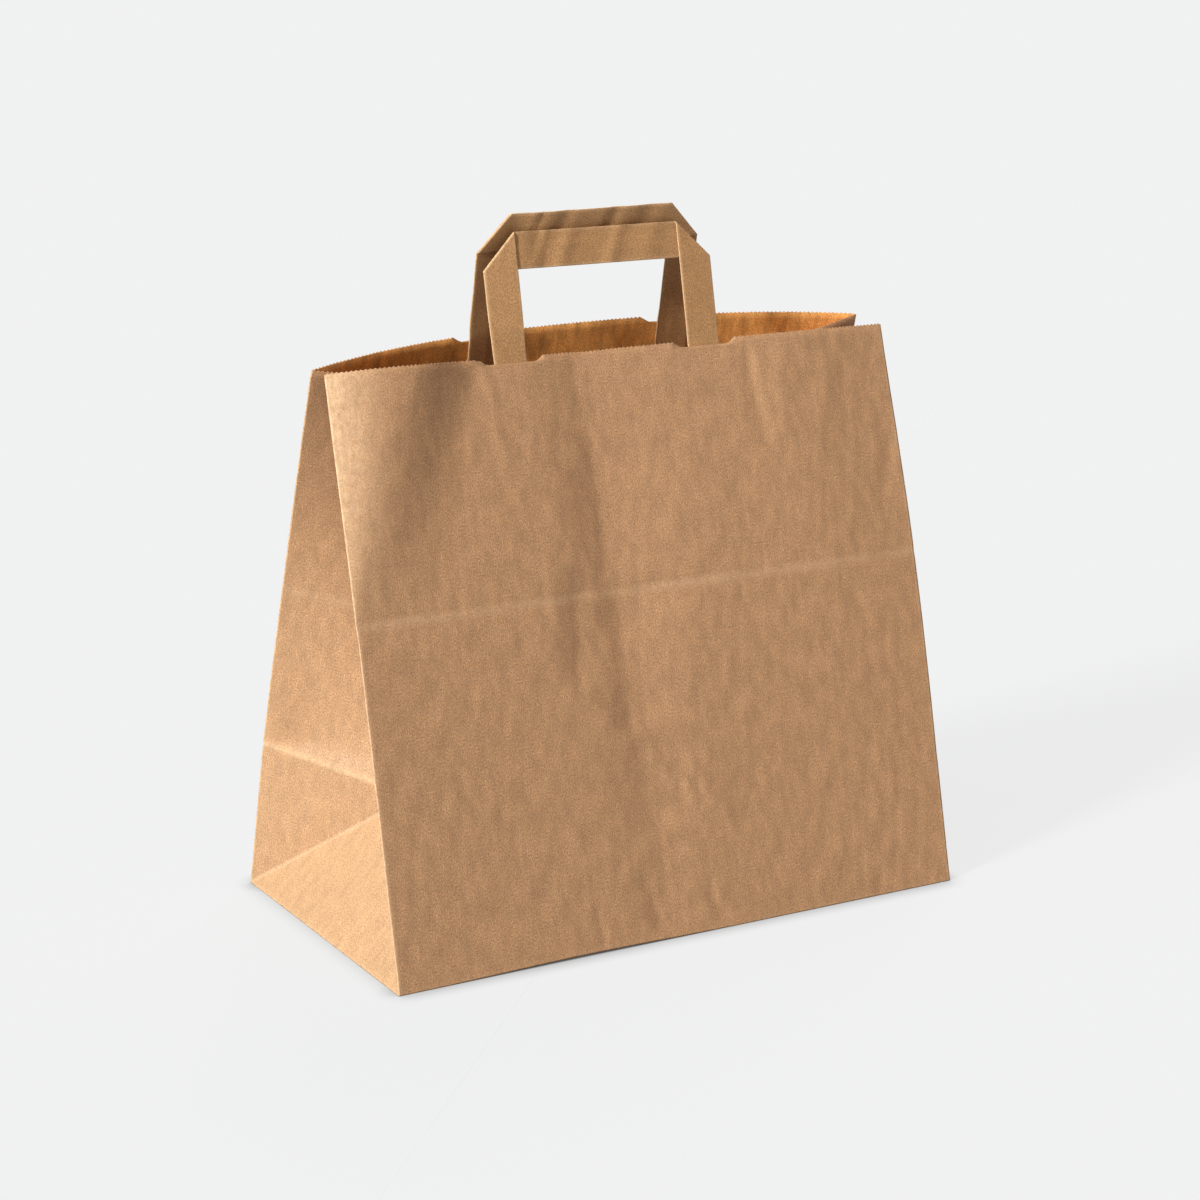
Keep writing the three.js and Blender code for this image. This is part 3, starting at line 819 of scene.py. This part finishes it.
# %% Handle sizes
HANDLE_RISE = 60
STRIP_THICKNESS = 0.8
LEG_TAIL = 55
GLUE_GAP = 0.3
FOLD_RADIUS = 0.45
FRONT_HANDLE_LEAN = 13.9
BACK_HANDLE_LEAN = -8.5
LEG_DEPTH = PAPER / 2 + GLUE_GAP + STRIP_THICKNESS / 2
STRIP_SAMPLES = 14
EDGE_SAMPLES = 7
LAST_PLY_STEP = 0.14
LAST_PLY_AT = 2
LAST_PLY_ROUND = 0.8
BAR_MIDDLE = HANDLE_RISE - STRIP_WIDTH / 2
ROW_TURN = 40
FOLD_ROWS = np.linspace(-0.95, 0.95, 12)
NEAR_FOLD = np.array([1.2, 1.6, 2.2])
PAST_FOLD = 3
LEG_ROWS = 44
BAR_ROWS = 22


def strip_profile():
    """The strip's section as a closed loop of (across, lift): flat outer face, round edge, flat back face
    with a small step where the last ply ends, and round edge again."""
    half = STRIP_WIDTH / 2
    thick = STRIP_THICKNESS / 2
    flat = np.linspace(-half + thick, half - thick, STRIP_SAMPLES)
    turn = np.linspace(math.pi / 2, -math.pi / 2, EDGE_SAMPLES)[1:-1]
    outer = np.stack([flat, np.full(STRIP_SAMPLES, thick)], axis=-1)
    right = np.stack([half - thick + thick * np.cos(turn), thick * np.sin(turn)], axis=-1)
    step = LAST_PLY_STEP * smoothstep((flat - LAST_PLY_AT) / LAST_PLY_ROUND)
    back = np.stack([flat, -thick + step], axis=-1)[::-1]
    return np.concatenate([outer, right, back, -right])


def strip_lengths():
    """Row places along the strip, measured from the fold: close together at the fold and wider away from
    it."""
    leg = np.linspace(-BAR_MIDDLE - LEG_TAIL, -PAST_FOLD, LEG_ROWS)
    bar = np.linspace(PAST_FOLD, LEG_OFFSET, BAR_ROWS)
    return np.concatenate([leg, -NEAR_FOLD[::-1], FOLD_ROWS, NEAR_FOLD, bar])


def fold_over(across, lift, length):
    """Where a point of the flat strip lies after the mitred fold: (x, z, depth) on the handle's plane, with
    depth towards the outside of the bag. Past the fold line by less than the bend's arc, the point is on
    the bend, and past that it is mirrored in the fold line, one strip behind."""
    shear = smoothstep(1 - np.abs(length) / ROW_TURN)
    x = -LEG_OFFSET + across
    z = BAR_MIDDLE + length + across * shear
    arc = math.pi * FOLD_RADIUS
    past = (z - x - (LEG_OFFSET + BAR_MIDDLE)) / math.sqrt(2) + arc / 2
    foot_x = x + past / math.sqrt(2)
    foot_z = z - past / math.sqrt(2)
    angle = np.clip(past / FOLD_RADIUS, 0, math.pi)
    reach = np.where(past < 0, past, np.where(past > arc, arc - past, (FOLD_RADIUS + lift) * np.sin(angle)))
    depth = -FOLD_RADIUS + (FOLD_RADIUS + lift) * np.cos(angle)
    return foot_x - reach / math.sqrt(2), foot_z + reach / math.sqrt(2), depth


# %% [markdown]
# ## Seating the handles
#
# Below the rim a leg lies along the inside of its panel, one glue line away. Above the rim the handle
# stands on a plane that leans inwards. A soft step between the two bends the legs at the rim.

# %% Places on a panel


class Panel:
    """One hung panel and how its handle stands. Inward is the sign of y towards the middle of the bag."""

    def __init__(self, sheet, inward, shift, lean):
        self.sheet = sheet
        self.normals = normals_of(sheet)
        self.inward = inward
        self.shift = shift
        self.lean = math.radians(lean)

    def blend(self, grid, x, t):
        """Bilinear mix of a grid's four points round each place on the paper."""
        column = np.clip(np.searchsorted(X, x) - 1, 0, len(X) - 2)
        row = np.clip(np.searchsorted(T, t) - 1, 0, len(T) - 2)
        right = np.clip((x - X[column]) / (X[column + 1] - X[column]), 0, 1)[..., None]
        up = np.clip((t - T[row]) / (T[row + 1] - T[row]), 0, 1)[..., None]
        low = grid[column, row] * (1 - right) + grid[column + 1, row] * right
        high = grid[column, row + 1] * (1 - right) + grid[column + 1, row + 1] * right
        return low * (1 - up) + high * up

    def inside(self, x, t, depth):
        """The place at a depth inside the panel: the sheet's point, less the depth along its outward
        normal."""
        outward = self.blend(self.normals, x, t) * self.inward
        return self.blend(self.sheet, x, t) - outward * depth[..., None]

    def stand(self, x, rise, depth):
        """The place on the handle's own plane, through both leg seats and leaning in by the lean angle."""
        legs = np.array([-LEG_OFFSET, LEG_OFFSET]) + self.shift
        seats = self.inside(legs, np.full(2, float(PANEL_HEIGHT)), np.full(2, LEG_DEPTH))
        right = (seats[1] - seats[0]) / np.linalg.norm(seats[1] - seats[0])
        up = np.array([0, math.sin(self.lean), math.cos(self.lean)])
        up = up - (up @ right) * right
        up = up / np.linalg.norm(up)
        outward = np.cross(right, up) * self.inward
        middle = seats.mean(axis=0)
        return middle + x[..., None] * right + rise[..., None] * up + depth[..., None] * outward


front_panel = Panel(front_sheet, 1, FRONT_HANDLE_SHIFT, FRONT_HANDLE_LEAN)
back_panel = Panel(back_sheet, -1, BACK_HANDLE_SHIFT, BACK_HANDLE_LEAN)

# %% Handle mesh
STRIP_EDGE_WEAR = 0.6
STRIP_EDGE_WIDTH = 0.9
STRIP_EDGE_FADE = 0.5
STRIP_FOLD_WEAR = (1, 1.5)
RIM_BEND_FROM = -3
RIM_BEND_TO = 11
BAR_DENTS = [(-32, 3, 0.6), (-18, 7, 0.7), (10, 6, 0.75), (30, 10, 0.6)]
BAR_DENT_TILT = 0.45
BAR_CALM_BELOW = 4
BAR_CALM_END = 6
LEG_TWIST = 0.1
LEG_TWIST_RISE = 25
LEG_TWIST_FROM = 30
LEG_TWIST_RUN = 16


def handle_places(panel):
    """Grid of a whole handle, rows along the strip by points round its section: the left half up to the
    middle of the crossbar, then its mirror image in reverse order."""
    profile = strip_profile()
    lengths = strip_lengths()
    across = np.broadcast_to(profile[:, 0], (len(lengths), len(profile)))
    lift = np.broadcast_to(profile[:, 1], across.shape)
    length = np.broadcast_to(lengths[:, None], across.shape)
    half_x, half_z, half_depth = fold_over(across, lift, length)
    x = np.concatenate([half_x, -half_x[-2::-1]])
    rise = np.concatenate([half_z, half_z[-2::-1]])
    depth = np.concatenate([half_depth, half_depth[-2::-1]])
    on_bar = smoothstep((rise - HANDLE_RISE + STRIP_WIDTH + BAR_CALM_BELOW) / BAR_CALM_BELOW)
    on_bar = on_bar * smoothstep((LEG_OFFSET - STRIP_WIDTH / 2 - np.abs(x)) / BAR_CALM_END)
    tilted = x - BAR_DENT_TILT * (rise - BAR_MIDDLE)
    dents = sum(size * crest(tilted - at, width, width) for at, width, size in BAR_DENTS)
    on_left_leg = smoothstep(rise / LEG_TWIST_RISE) * smoothstep((-x - LEG_TWIST_FROM) / LEG_TWIST_RUN)
    depth = depth + dents * on_bar + LEG_TWIST * (x + LEG_OFFSET) * on_left_leg
    seated = panel.inside(panel.shift + x, np.minimum(PANEL_HEIGHT + rise, PANEL_HEIGHT), LEG_DEPTH - depth)
    standing = panel.stand(x, rise, depth)
    share = smoothstep((rise - RIM_BEND_FROM) / (RIM_BEND_TO - RIM_BEND_FROM))[..., None]
    return seated * (1 - share) + standing * share


def handle_mesh(name, panel):
    """A closed tube of the strip's section, with its two cut ends closed by one face each."""
    grid = handle_places(panel)
    rows, columns = grid.shape[:2]
    faces = quads(rows, columns, True)
    faces = faces[:, ::-1] if panel.inward > 0 else faces
    ends = [list(range(columns)), list(range((rows - 1) * columns, rows * columns))[::-1]]
    ends = ends if panel.inward > 0 else [end[::-1] for end in ends]
    profile = strip_profile()
    along = np.concatenate([strip_lengths(), 2 * LEG_OFFSET - strip_lengths()[-2::-1]])
    around = np.cumsum(np.linalg.norm(np.diff(profile, axis=0, prepend=profile[-1:]), axis=1))
    places = np.stack(np.meshgrid(around, along), axis=-1).reshape(-1, 2)
    from_edge = STRIP_WIDTH / 2 - np.abs(profile[:, 0])
    edge = STRIP_EDGE_WEAR * np.clip((STRIP_EDGE_WIDTH - from_edge) / STRIP_EDGE_FADE, 0, 1)
    from_fold = np.minimum(np.abs(along), np.abs(along - 2 * LEG_OFFSET))
    at_fold = line_wear(from_fold, *STRIP_FOLD_WEAR)
    wear_and_highlight = np.maximum(edge[None, :], at_fold[:, None]).ravel()
    return make_mesh(name, grid.reshape(-1, 3), faces.tolist() + ends, places, wear_and_highlight)


front_handle = handle_mesh("front_handle_strip", front_panel)
back_handle = handle_mesh("back_handle_strip", back_panel)
print("handle faces", len(front_handle.data.polygons))

# %% [markdown]
# ## Patches
#
# A patch is glued inside each panel over both leg tails. It lies on the panel and steps up over each leg.

# %% Patch mesh
PATCH_WIDTH = 140
PATCH_HEIGHT = 40
PATCH_DROP = 22
PATCH_PAPER = 0.2
PATCH_LEG_CLEAR = 1.5
PATCH_STEP_RUN = 3.5
PATCH_CELL = 1.4
PATCH_EDGE_WEAR = 0.6


def patch_mesh(name, panel):
    """A grid on the panel's inside at a depth that rises over each leg by a straight ramp with soft ends."""
    x = np.linspace(-PATCH_WIDTH / 2, PATCH_WIDTH / 2, round(PATCH_WIDTH / PATCH_CELL) + 1)
    top = PANEL_HEIGHT - PATCH_DROP
    t = np.linspace(top - PATCH_HEIGHT, top, round(PATCH_HEIGHT / PATCH_CELL / 2) + 1)
    over_leg = PAPER / 2 + GLUE_GAP + STRIP_THICKNESS + GLUE_GAP + PATCH_PAPER / 2
    on_panel = PAPER / 2 + GLUE_GAP + PATCH_PAPER / 2
    from_leg = np.abs(np.abs(x) - LEG_OFFSET) - STRIP_WIDTH / 2 - PATCH_LEG_CLEAR
    depth = over_leg + (on_panel - over_leg) * smoothstep(from_leg / PATCH_STEP_RUN)
    across, up = np.meshgrid(x, t)
    grid = panel.inside(panel.shift + across, up, np.broadcast_to(depth, across.shape))
    faces = quads(len(t), len(x), False)
    faces = faces[:, ::-1] if panel.inward > 0 else faces
    places = np.stack([across + PATCH_WIDTH, up], axis=-1).reshape(-1, 2)
    rim = np.minimum(np.abs(across) - PATCH_WIDTH / 2 + 1, 1).ravel()
    made = make_mesh(name, grid.reshape(-1, 3), faces.tolist(), places, PATCH_EDGE_WEAR * np.clip(rim, 0, 1))
    thicken(made, PATCH_PAPER)
    return made


front_patch = patch_mesh("front_patch_paper", front_panel)
back_patch = patch_mesh("back_patch_paper", back_panel)
print("patch faces", len(front_patch.data.polygons))

# %% [markdown]
# ## Kraft paper
#
# Unbleached kraft is made of long brown fibres that mostly lie up the sheet. Close up it has a fine grain,
# pale and dark fibres, a cloudy mottle and a few dark flecks. All of these are noise on the flat sheet's own
# coordinates, stretched up the paper, mixed into one base colour. The grain and fibres also raise the surface
# a little, which gives the dull, dry look. Rubbed folds are paler, and a painted highlight makes the front's
# curled corner paler too. The inside of the bag and the patches have a brighter, more orange colour than the
# outside, painted as light bouncing between the walls.

# %% Shader nodes


def add_node(tree, kind, inputs, output=0, **settings):
    """An output of a new shader node. An input is linked where it is given a socket, and set otherwise."""
    made = tree.nodes.new("ShaderNode" + kind)
    for name, value in settings.items():
        setattr(made, name, value)
    for place, value in inputs.items():
        if isinstance(value, bpy.types.NodeSocket):
            tree.links.new(value, made.inputs[place])
        else:
            made.inputs[place].default_value = value
    return made.outputs[output]


def lighter(colour, factor):
    """The colour with each channel multiplied."""
    return tuple(channel * factor for channel in colour) + (1.0,)


# %% Kraft material
PAPER_ROUGHNESS = 0.65
PAPER_SHINE = 0.5
NOISE_ROUGHNESS = 0.6
CLOUD_SHARE = 0.4
FLECK_CELLS = 95
FLECK_EDGE = 0.045
FLECK_CORE = 0.02
# Paler colour of rubbed folds, also used as the painted highlight on the curled front corner
WEAR_AND_HIGHLIGHT_COLOUR = (0.88, 0.58, 0.35, 1.0)
WEAR_AND_HIGHLIGHT_SHARE = 0.45
BUMP_STRENGTH = 0.35
BUMP_HEIGHT = 0.00006


def kraft(name, colour, mottling=1.0):
    """A kraft paper material. Each layer is a noise texture on the Paper map, remapped to a mixing share."""
    material = bpy.data.materials.new(name)
    material.use_nodes = True
    tree = material.node_tree
    paper = add_node(tree, "UVMap", {}, uv_map="Paper")

    def remap(value, low, high):
        """A value moved to 0 at low and 1 at high."""
        return add_node(tree, "MapRange", {"Value": value, "From Min": low, "From Max": high})

    def noise(across, along, detail, low, high):
        """Noise with its own size across and along the fibres (metres), remapped to 0..1 between two
        values."""
        stretch = add_node(tree, "Mapping", {"Vector": paper, "Scale": (1 / across, 1 / along, 1)})
        facts = {"Vector": stretch, "Scale": 1, "Detail": detail, "Roughness": NOISE_ROUGHNESS}
        return remap(add_node(tree, "TexNoise", facts), low, high)

    def mix(share, first, second):
        """Mix of two colours by a share."""
        return add_node(tree, "Mix", {0: share, 6: first, 7: second}, output=2, data_type="RGBA")

    def times(share, factor):
        """A share times a factor."""
        return add_node(tree, "Math", {0: share, 1: factor}, operation="MULTIPLY")

    def tint(layer, share, factor, strength):
        """The layer pulled towards a darker or paler version of the paper, by a share times a strength."""
        return mix(times(share, strength), layer, lighter(colour, factor))

    dark, pale = lighter(colour, 1 - 0.2 * mottling), lighter(colour, 1 + 0.18 * mottling)
    mottle = mix(noise(0.005, 0.013, 4, 0.32, 0.68), dark, pale)
    cloudy = mix(noise(0.04, 0.06, 2, 0.3, 0.7), lighter(colour, 0.95), lighter(colour, 1.05))
    layered = mix(CLOUD_SHARE, mottle, cloudy)

    fine_grain = noise(0.0006, 0.0009, 3, 0.3, 0.7)
    pale_fibre = noise(0.0004, 0.0045, 2, 0.60, 0.72)
    dark_fibre = noise(0.00055, 0.0035, 2, 0.62, 0.74)
    layered = tint(layered, fine_grain, 0.28, 0.85)
    layered = tint(layered, pale_fibre, 1.30, 0.55)
    layered = tint(layered, dark_fibre, 0.60, 0.45)

    fleck = add_node(tree, "TexVoronoi", {"Vector": paper, "Scale": FLECK_CELLS}, output="Distance")
    layered = tint(layered, remap(fleck, FLECK_EDGE, FLECK_CORE), 0.35, 0.75)

    # One attribute makes the rubbed folds paler and also paints the highlight on the curled front corner.
    wear_and_highlight_level = add_node(tree, "Attribute", {}, output="Fac", attribute_name="wear_and_highlight")
    patchy = times(wear_and_highlight_level, noise(0.002, 0.004, 3, 0.2, 0.7))
    layered = mix(times(patchy, WEAR_AND_HIGHLIGHT_SHARE), layered, WEAR_AND_HIGHLIGHT_COLOUR)

    height = add_node(tree, "Math", {0: fine_grain, 1: pale_fibre}, operation="ADD")
    bump = add_node(tree, "Bump", {"Strength": BUMP_STRENGTH, "Distance": BUMP_HEIGHT, "Height": height})
    shader = tree.nodes["Principled BSDF"]
    shader.inputs["Roughness"].default_value = PAPER_ROUGHNESS
    shader.inputs["Specular IOR Level"].default_value = PAPER_SHINE
    tree.links.new(layered, shader.inputs["Base Color"])
    tree.links.new(bump, shader.inputs["Normal"])
    return material


KRAFT = (0.572, 0.304, 0.149)
# Painted light: the inside colour is brighter and more orange than the outside, for light bouncing inside.
KRAFT_INSIDE_PAINTED_LIGHT = (0.95, 0.42, 0.11)
KRAFT_HANDLE = (0.535, 0.275, 0.112)

outside = kraft("kraft_outside", KRAFT, mottling=1.3)
# Painted bounce light: the inside of the walls and the patches take the brighter inside colour.
inside = kraft("kraft_inside_painted_light", KRAFT_INSIDE_PAINTED_LIGHT, mottling=3.2)
handle_finish = kraft("kraft_handle", KRAFT_HANDLE)
patch_painted_light = kraft("kraft_patch_painted_light", KRAFT_INSIDE_PAINTED_LIGHT)

body.data.materials.append(outside)
body.data.materials.append(inside)
for piece, finish in (
    (front_handle, handle_finish),
    (back_handle, handle_finish),
    (front_patch, patch_painted_light),
    (back_patch, patch_painted_light),
):
    piece.data.materials.append(finish)
print("materials", [material.name for material in bpy.data.materials if material.name.startswith("kraft")])

# %% [markdown]
# ## What stands for what
#
# Each new piece rides on the part's one body and replaces the plain solid of the same piece.

# %% Ride and replace
for piece, node, slot in (
    (body, "bag_body", "bag"),
    (front_handle, "front_handle", "handle"),
    (back_handle, "back_handle", "handle"),
    (front_patch, "front_handle_patch", "patch"),
    (back_patch, "back_handle_patch", "patch"),
):
    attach(piece, BODY)
    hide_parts(node)

# %% [markdown]
# ## Table and backdrop
#
# The photograph has a plain pale ground with hardly a shadow. The ground shows its own pale colour to the
# camera, and takes only part of its brightness from the light, so that the bag keeps a soft shadow under it.
# Near the bag that pale colour is darkened by ambient occlusion, as a painted contact shadow.

# %% Ground
GROUND_COLOUR = (0.925, 0.925, 0.93, 1)
GROUND_LIT_COLOUR = (0.42, 0.42, 0.42, 1)
GROUND_ROUGHNESS = 0.9
GROUND_SHADOW_SHARE = 0.16
GROUND_SIZE = 60
# Reach of the painted contact shadow on the ground
PAINTED_SHADOW_REACH = 0.012

ground_mesh = bpy.data.meshes.new("ground")
corners = [(x * GROUND_SIZE, y * GROUND_SIZE, 0) for x, y in ((-1, -1), (1, -1), (1, 1), (-1, 1))]
ground_mesh.from_pydata(corners, [], [(0, 1, 2, 3)])
ground = bpy.data.objects.new("ground", ground_mesh)
bpy.context.scene.collection.objects.link(ground)

ground_material = bpy.data.materials.new("ground")
ground_material.use_nodes = True
tree = ground_material.node_tree
lit = tree.nodes["Principled BSDF"]
lit.inputs["Base Color"].default_value = GROUND_LIT_COLOUR
lit.inputs["Roughness"].default_value = GROUND_ROUGHNESS
lit.inputs["Specular IOR Level"].default_value = 0.0
# Painted contact shadow: ambient occlusion darkens the ground's pale colour near the bag.
painted_contact_shadow = add_node(tree, "AmbientOcclusion", {"Distance": PAINTED_SHADOW_REACH}, output="AO")
glow = add_node(tree, "Emission", {"Color": GROUND_COLOUR, "Strength": painted_contact_shadow})
ray = add_node(tree, "LightPath", {}, output="Is Camera Ray")
seen = add_node(tree, "Math", {0: ray, 1: 1 - GROUND_SHADOW_SHARE}, operation="MULTIPLY")
choice = add_node(tree, "MixShader", {0: seen, 1: lit.outputs["BSDF"], 2: glow})
tree.links.new(choice, tree.nodes["Material Output"].inputs["Surface"])
ground_mesh.materials.append(ground_material)

# %% [markdown]
# ## Light
#
# A broad soft light comes from the left, so that the side gusset is the brightest face and the front panel
# is lit at a low angle that shows its creases. A weak, cool light beside it keeps the gusset pale, one from
# above and one from behind light the inside and the back, and an even, warm sky fills the rest. The camera
# sees the ground's pale colour in place of the sky.

# %% Lamps and sky
SKY_COLOUR = (1.0, 0.87, 0.74, 1)
SKY_STRENGTH = 0.30

world = bpy.data.worlds.new("sky")
bpy.context.scene.world = world
world.use_nodes = True
sky_tree = world.node_tree
sky = sky_tree.nodes["Background"]
sky.inputs["Color"].default_value = SKY_COLOUR
sky.inputs["Strength"].default_value = SKY_STRENGTH
backdrop = add_node(sky_tree, "Background", {"Color": GROUND_COLOUR})
ray = add_node(sky_tree, "LightPath", {}, output="Is Camera Ray")
choice = add_node(sky_tree, "MixShader", {0: ray, 1: sky.outputs["Background"], 2: backdrop})
sky_tree.links.new(choice, sky_tree.nodes["World Output"].inputs["Surface"])


def sun(name, azimuth, elevation, strength, softness, colour):
    """A sun lamp that comes from an azimuth (degrees from -Y towards +X) and elevation."""
    lamp = bpy.data.lights.new(name, "SUN")
    lamp.energy = strength
    lamp.angle = math.radians(softness)
    lamp.color = colour
    holder = bpy.data.objects.new(name, lamp)
    holder.rotation_euler = (math.radians(90 - elevation), 0, math.radians(azimuth))
    bpy.context.scene.collection.objects.link(holder)


sun("key", -77, 24, 5.6, 10, (0.96, 1.0, 1.0))
sun("top", -50, 58, 0.7, 40, (1.0, 0.96, 0.90))
sun("side", -102, 22, 1.1, 30, (0.3, 0.9, 1.0))
sun("back", 140, 35, 1.6, 40, (1.0, 0.97, 0.93))

# %% [markdown]
# ## Camera
#
# The camera's place was worked out from the bag's corners in the photograph: it looks at the bag from the
# front left, a little above, through a long lens.

# %% Camera
CAMERA_AZIMUTH = math.radians(-31.284)
CAMERA_ELEVATION = math.radians(15.678)
CAMERA_ROLL = math.radians(1.298)
CAMERA_DISTANCE = 1478.8
CAMERA_AIM_RIGHT = -4.874
CAMERA_AIM_UP = 150.157
LENS = 88.73

back = np.array([
    math.sin(CAMERA_AZIMUTH) * math.cos(CAMERA_ELEVATION),
    -math.cos(CAMERA_AZIMUTH) * math.cos(CAMERA_ELEVATION),
    math.sin(CAMERA_ELEVATION),
])
level_right = np.array([math.cos(CAMERA_AZIMUTH), math.sin(CAMERA_AZIMUTH), 0])
level_up = np.cross(back, level_right)
right = level_right * math.cos(CAMERA_ROLL) + level_up * math.sin(CAMERA_ROLL)
up = level_up * math.cos(CAMERA_ROLL) - level_right * math.sin(CAMERA_ROLL)
aim = right * CAMERA_AIM_RIGHT + np.array([0, 0, CAMERA_AIM_UP])
place = (aim + back * CAMERA_DISTANCE + SHIFT) * MILLIMETRE

camera_data = bpy.data.cameras.new("camera")
camera_data.lens = LENS
camera = bpy.data.objects.new("camera", camera_data)
bpy.context.scene.collection.objects.link(camera)
axes = np.eye(4)
axes[:3] = np.stack([right, up, back, place], axis=1)
camera.matrix_world = Matrix(axes.tolist())
bpy.context.scene.camera = camera
bpy.context.scene.view_settings.view_transform = "Standard"
print("camera at", np.round(place, 3))

# %% [markdown]
# ## Finish
#
# The view layer is brought up to date at the end.

# %% Finish


bpy.context.view_layer.update()
